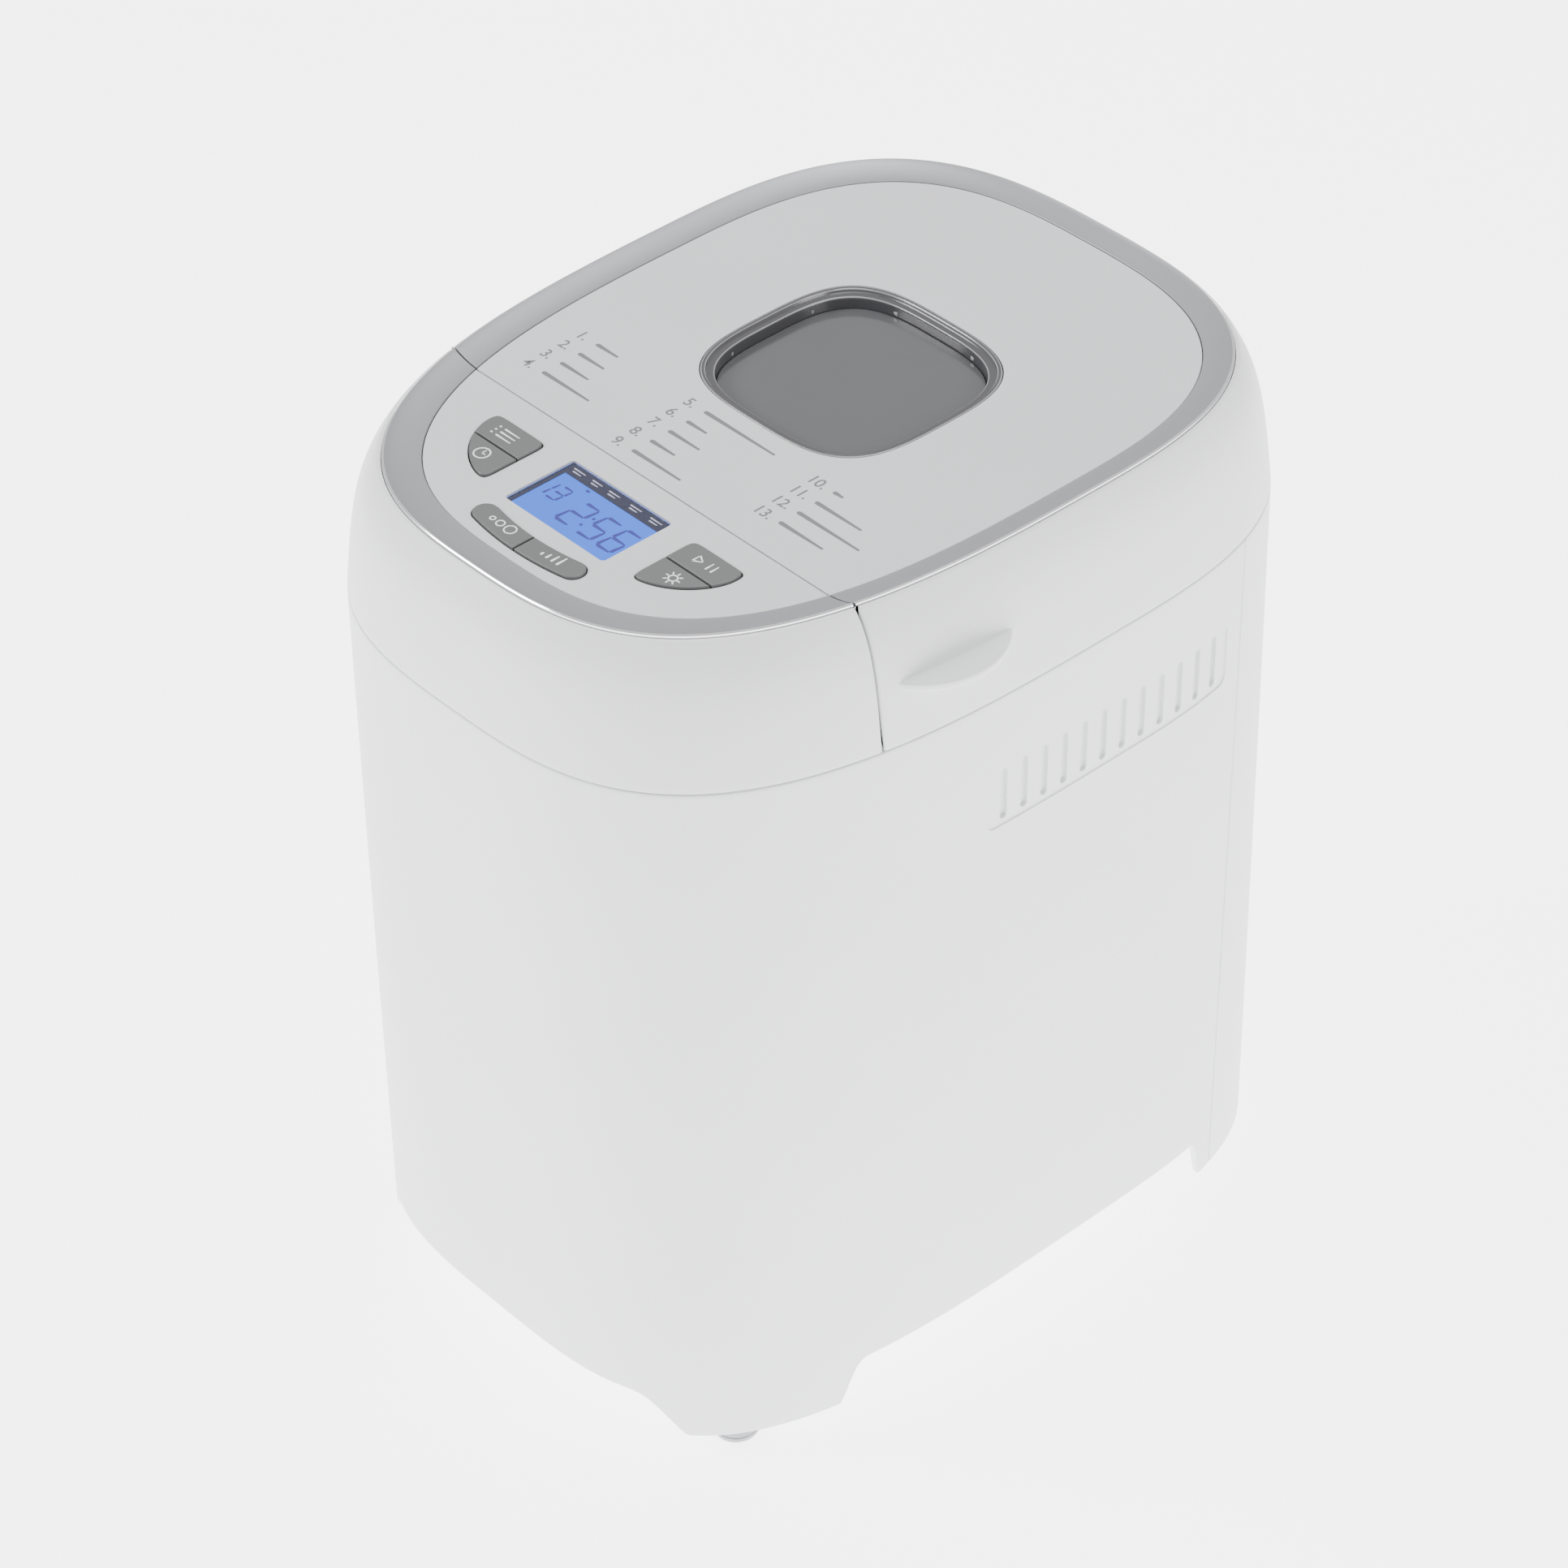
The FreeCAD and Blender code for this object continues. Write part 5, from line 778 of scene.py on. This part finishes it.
lens = bmesh.new()
display_patch(lens, -0.15, 323.0)
round_off(lens, thicken(lens, 0.25), 0.15)
finish("display_cover", lens, "base", "display_clear", "display_clear", ["display_lens"])
screen = bmesh.new()
display_patch(screen, 1.8, 314.8)
round_off(screen, thicken(screen, 4.9), 0.25)
finish("display_module", screen, "base", "display_screen", "display_screen", ["lcd_module"])

face = bmesh.new()
display_patch(face, -0.15, 321.4)
thicken(face, 1.4)
finish("display_face", face, "base", "display_screen", "display_screen")


def sliver(bm, x, y, long, wide, angle=0.0, z=SCREEN, height=0.05, lean=0.0):
    """A thin six-sided bar with pointed ends."""
    part = bmesh.new()
    verts = bmesh.ops.create_circle(part, cap_ends=True, segments=6, radius=wide / 2)["verts"]
    for v in verts:
        v.co.x += (long - wide) / 2 * (1 if v.co.x > 0 else -1)
    bmesh.ops.rotate(part, verts=part.verts, matrix=Matrix.Rotation(angle, 3, "Z"))
    thicken(part, height)
    for v in part.verts:
        v.co.x += lean * v.co.y
    bmesh.ops.translate(part, verts=part.verts, vec=(x, y, z))
    pour(bm, part)


def strip(bm, x0, x1, y0, y1, z=SCREEN, height=0.05):
    """A thin flat block between two x and two y."""
    made = bmesh.ops.create_cube(bm, size=1.0)["verts"]
    bmesh.ops.scale(bm, vec=(x1 - x0, y1 - y0, height), verts=made)
    bmesh.ops.translate(bm, vec=((x0 + x1) / 2, (y0 + y1) / 2, z + height / 2), verts=made)


header = bmesh.new()
strip(header, -22.6, 22.6, -82.0, -76.7, height=0.1)
strip(header, -22.6, -20.5, -103.9, -82.0, height=0.1)
finish("display_header", header, "base", "display_header", "display_screen", weighted=False)
marks = bmesh.new()
for x, long in ((-17.5, 5.4), (-9.3, 4.6), (-1.4, 5.0), (8.6, 5.2), (17.8, 5.4)):
    for y in (-78.6, -79.9):
        sliver(marks, x, y, long * (1.0 if y > -79 else 0.7), 0.6, z=SCREEN + 0.1)
finish("display_marks", marks, "base", "display_mark", "display_screen", weighted=False)

SEGMENTS = {"a": (0, 1, 0), "b": (0.5, 0.5, 90), "c": (0.5, -0.5, 90), "d": (0, -1, 0), "e": (-0.5, -0.5, 90),
            "f": (-0.5, 0.5, 90), "g": (0, 0, 0)}
LIT = {"1": "bc", "2": "abged", "3": "abgcd", "5": "afgcd", "6": "afgedc"}


def digit(bm, mark, x, y, tall, wide, bar):
    """One seven-segment figure of the display, leaning a little."""
    for name in LIT[mark]:
        dx, dy, angle = SEGMENTS[name]
        long = (wide if angle == 0 else tall / 2) - 0.3
        at_y = dy * tall / 2
        sliver(bm, x + dx * wide + 0.12 * at_y, y + at_y, long, bar, radians(angle), SCREEN + 0.02, lean=0.12)


figures = bmesh.new()
for mark, x in (("1", -19.0), ("3", -13.4)):
    digit(figures, mark, x, -90.4, 7.0, 4.0, 1.0)
for mark, x in (("2", -1.5), ("5", 8.6), ("6", 17.6)):
    digit(figures, mark, x, -93.4, 11.5, 6.0, 1.35)
for y in (-91.4, -96.0):
    sliver(figures, 3.6 + 0.12 * (y + 93.4), y, 1.3, 1.3, z=SCREEN + 0.02)
sliver(figures, -8.2, -83.4, 1.8, 1.2, z=SCREEN + 0.02)
finish("display_figures", figures, "base", "display_digit", "display_screen", weighted=False)

# ---------------------------------------------------------------- printed numbers and signs

def figures_mesh(text, size):
    """A printed number as a flat mesh, in millimetres."""
    curve = bpy.data.curves.new("print", "FONT")
    curve.body, curve.size, curve.offset = text, size, 0.09
    thing = bpy.data.objects.new("print", curve)
    bpy.context.collection.objects.link(thing)
    bpy.context.view_layer.update()
    mesh = bpy.data.meshes.new_from_object(thing.evaluated_get(bpy.context.evaluated_depsgraph_get()))
    bpy.data.objects.remove(thing)
    bpy.data.curves.remove(curve)
    return mesh


ROWS = [(-74.6, (1, 2, 3, 4), (19, 21, 22, 31)), (-23.2, (5, 6, 7, 8, 9), (41, 18, 23, 20, 31)),
        (33.6, (10, 11, 12, 13), (15, 31, 38, 30))]
numbers = bmesh.new()
for x, row, longs in ROWS:
    for k, (number, long) in enumerate(zip(row, longs)):
        y = -30.4 - 7.4 * k
        mesh = figures_mesh(f"{number}.", 6.0)
        mesh.transform(Matrix.Translation((x, y - 1.9, PRINT)))
        numbers.from_mesh(mesh)
        bpy.data.meshes.remove(mesh)
        start = x + (8.5 if number < 10 else 10.5)
        end = x + long
        sliver(numbers, (start + end) / 2, y, end - start, 1.7, z=PRINT - 0.01, height=PRINT_THICK)
finish("lid_numbers", numbers, "lid", "panel_print", "white_panel", weighted=False)


def loop_sign(bm, x, y, radius, wide, z):
    """A printed circle."""
    part = bmesh.new()
    outer = bmesh.ops.create_circle(part, segments=32, radius=radius)["verts"]
    inner = bmesh.ops.create_circle(part, segments=32, radius=radius - wide)["verts"]
    bmesh.ops.bridge_loops(part, edges=part.edges[:])
    bmesh.ops.translate(part, verts=outer + inner, vec=(x, y, z))
    pour(bm, part)


signs = {word: bmesh.new() for word in ("menu", "time", "start", "setting", "size", "browning")}
for k in range(3):
    sliver(signs["menu"], -45.5, -82.0 - 1.9 * k, 7.0, 0.7, z=SIGN, height=PRINT_THICK)
    sliver(signs["menu"], -51.0, -82.0 - 1.9 * k, 1.0, 0.8, z=SIGN, height=PRINT_THICK)
loop_sign(signs["time"], -44.2, -95.2, 2.9, 0.5, SIGN)
sliver(signs["time"], -44.2, -94.3, 2.2, 0.5, radians(90), SIGN, PRINT_THICK)
sliver(signs["time"], -43.5, -95.2, 1.9, 0.5, 0.0, SIGN, PRINT_THICK)
for turn, dx, dy in ((90, -2.6, 0.0), (30, -1.1, -0.85), (-30, -1.1, 0.85)):
    sliver(signs["start"], 43.5 + dx + 0.8, -83.6 + dy, 3.8, 0.6, radians(turn), SIGN, PRINT_THICK)
for dx in (5.0, 7.2):
    sliver(signs["start"], 42.6 + dx, -83.6, 3.8, 0.7, radians(90), SIGN, PRINT_THICK)
loop_sign(signs["setting"], 44.4, -95.2, 1.7, 0.5, SIGN)
for k in range(8):
    a = 2 * pi * k / 8
    sliver(signs["setting"], 44.4 + 2.5 * cos(a), -95.2 + 2.5 * sin(a), 1.3, 0.6, a, SIGN, PRINT_THICK)
for dx, radius in ((-3.6, 1.1), (0.0, 1.6), (4.6, 2.2)):
    loop_sign(signs["size"], -12.2 + dx, -114.5, radius, 0.45, SIGN)
for k, long in enumerate((1.6, 2.6, 3.6, 4.6)):
    sliver(signs["browning"], 8.2 + 2.4 * k, -116.1 + 0.5 * long, long, 0.9, radians(90), SIGN, PRINT_THICK)
for word, bm in signs.items():
    finish(f"{word}_sign", bm, f"{word}_button", "key_print", "grey_key", weighted=False)

# ---------------------------------------------------------------- rubber feet

feet = bmesh.new()
profile = [(0.0, 0.0), (6.9, 0.0), (7.6, 0.25), (8.0, 0.9), (8.1, 2.2), (7.75, 2.5), (7.75, 2.9), (8.2, 3.2),
           (8.25, 4.9), (7.9, 5.5), (7.2, 5.7), (7.2, 7.9), (0.0, 7.9)]
for x, y in ((-FOOT_X, FOOT_FRONT), (FOOT_X, FOOT_FRONT), (-FOOT_X, FOOT_REAR), (FOOT_X, FOOT_REAR)):
    part = bmesh.new()
    edges = flat_outline(part, [(r, 0, z) for r, z in profile])[:-1]
    bmesh.ops.spin(part, geom=part.verts[:] + edges, cent=(0, 0, 0), axis=(0, 0, 1), angle=2 * pi, steps=48,
                   use_merge=True)
    bmesh.ops.remove_doubles(part, verts=part.verts, dist=1e-3)
    bmesh.ops.recalc_face_normals(part, faces=part.faces)
    bmesh.ops.translate(part, verts=part.verts, vec=(x, y, 0.0))
    pour(feet, part)
finish("feet_rubber", feet, "base", "foot_rubber", "foot_rubber", ["rubber_feet"])

# ---------------------------------------------------------------- finishes of the CAD nodes that stay

for name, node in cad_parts.items():
    for slot in node.material_slots:
        key = slot.material.name.split(".")[0] if slot.material else "white_plastic"
        slot.material = PAINTS.get(key, PAINTS["white_plastic"])

# ---------------------------------------------------------------- floor, light and camera

floor_bm = bmesh.new()
bmesh.ops.create_circle(floor_bm, cap_ends=True, segments=96, radius=1.3)
floor_mesh = bpy.data.meshes.new("floor")
floor_bm.to_mesh(floor_mesh)
floor_bm.free()
floor = bpy.data.objects.new("floor", floor_mesh)
floor.location.z = -0.0005
bpy.context.collection.objects.link(floor)
floor_paint = Finish("floor_white")
cloud = floor_paint.speckle(6.0)
floor_paint.set(Base_Color=floor_paint.between(cloud, (0.93, 0.93, 0.93), (0.95, 0.95, 0.95)), Roughness=0.8,
                Emission_Color=(1.0, 1.0, 1.0, 1.0), Emission_Strength=3.6)
floor_mesh.materials.append(floor_paint.material)

world = bpy.data.worlds.new("studio")
bpy.context.scene.world = world
world.use_nodes = True
world.node_tree.nodes["Background"].inputs["Color"].default_value = (1.0, 1.0, 1.0, 1.0)
world.node_tree.nodes["Background"].inputs["Strength"].default_value = 0.95


def softbox(name, place, aim, size, power):
    """A rectangular light turned towards a point."""
    light = bpy.data.lights.new(name, "AREA")
    light.shape, light.size, light.size_y, light.energy = "RECTANGLE", size[0], size[1], power
    made = bpy.data.objects.new(name, light)
    made.location = place
    made.rotation_mode = "QUATERNION"
    made.rotation_quaternion = (Vector(aim) - Vector(place)).to_track_quat("-Z", "Y")
    bpy.context.collection.objects.link(made)


softbox("key_light", (-1.3, -1.5, 1.5), (0, 0, 0.22), (0.8, 0.8), 42.0)
softbox("side_light", (1.8, 0.5, 1.2), (0, 0, 0.25), (0.8, 1.0), 16.0)
softbox("top_light", (0.0, 0.4, 2.0), (0, 0, 0.3), (1.2, 1.2), 22.0)

camera_data = bpy.data.cameras.new("camera")
camera_data.sensor_width, camera_data.lens = 36.0, 115.71
camera = bpy.data.objects.new("camera", camera_data)
bpy.context.collection.objects.link(camera)
azimuth, elevation, roll, distance = radians(48.52), radians(39.02), radians(-1.27), 1.4117
target = Vector((0.14039, -0.13805, 0.3265))
back = Vector((sin(azimuth) * cos(elevation), -cos(azimuth) * cos(elevation), sin(elevation)))
right = (-back).cross(Vector((0, 0, 1))).normalized()
up = right.cross(-back)
right_turned = cos(roll) * right + sin(roll) * up
up_turned = -sin(roll) * right + cos(roll) * up
camera.matrix_world = (Matrix.Translation(target + back * distance)
                       @ Matrix((right_turned, up_turned, back)).transposed().to_4x4())
camera_data.clip_start, camera_data.clip_end = 0.05, 20.0
bpy.context.scene.camera = camera
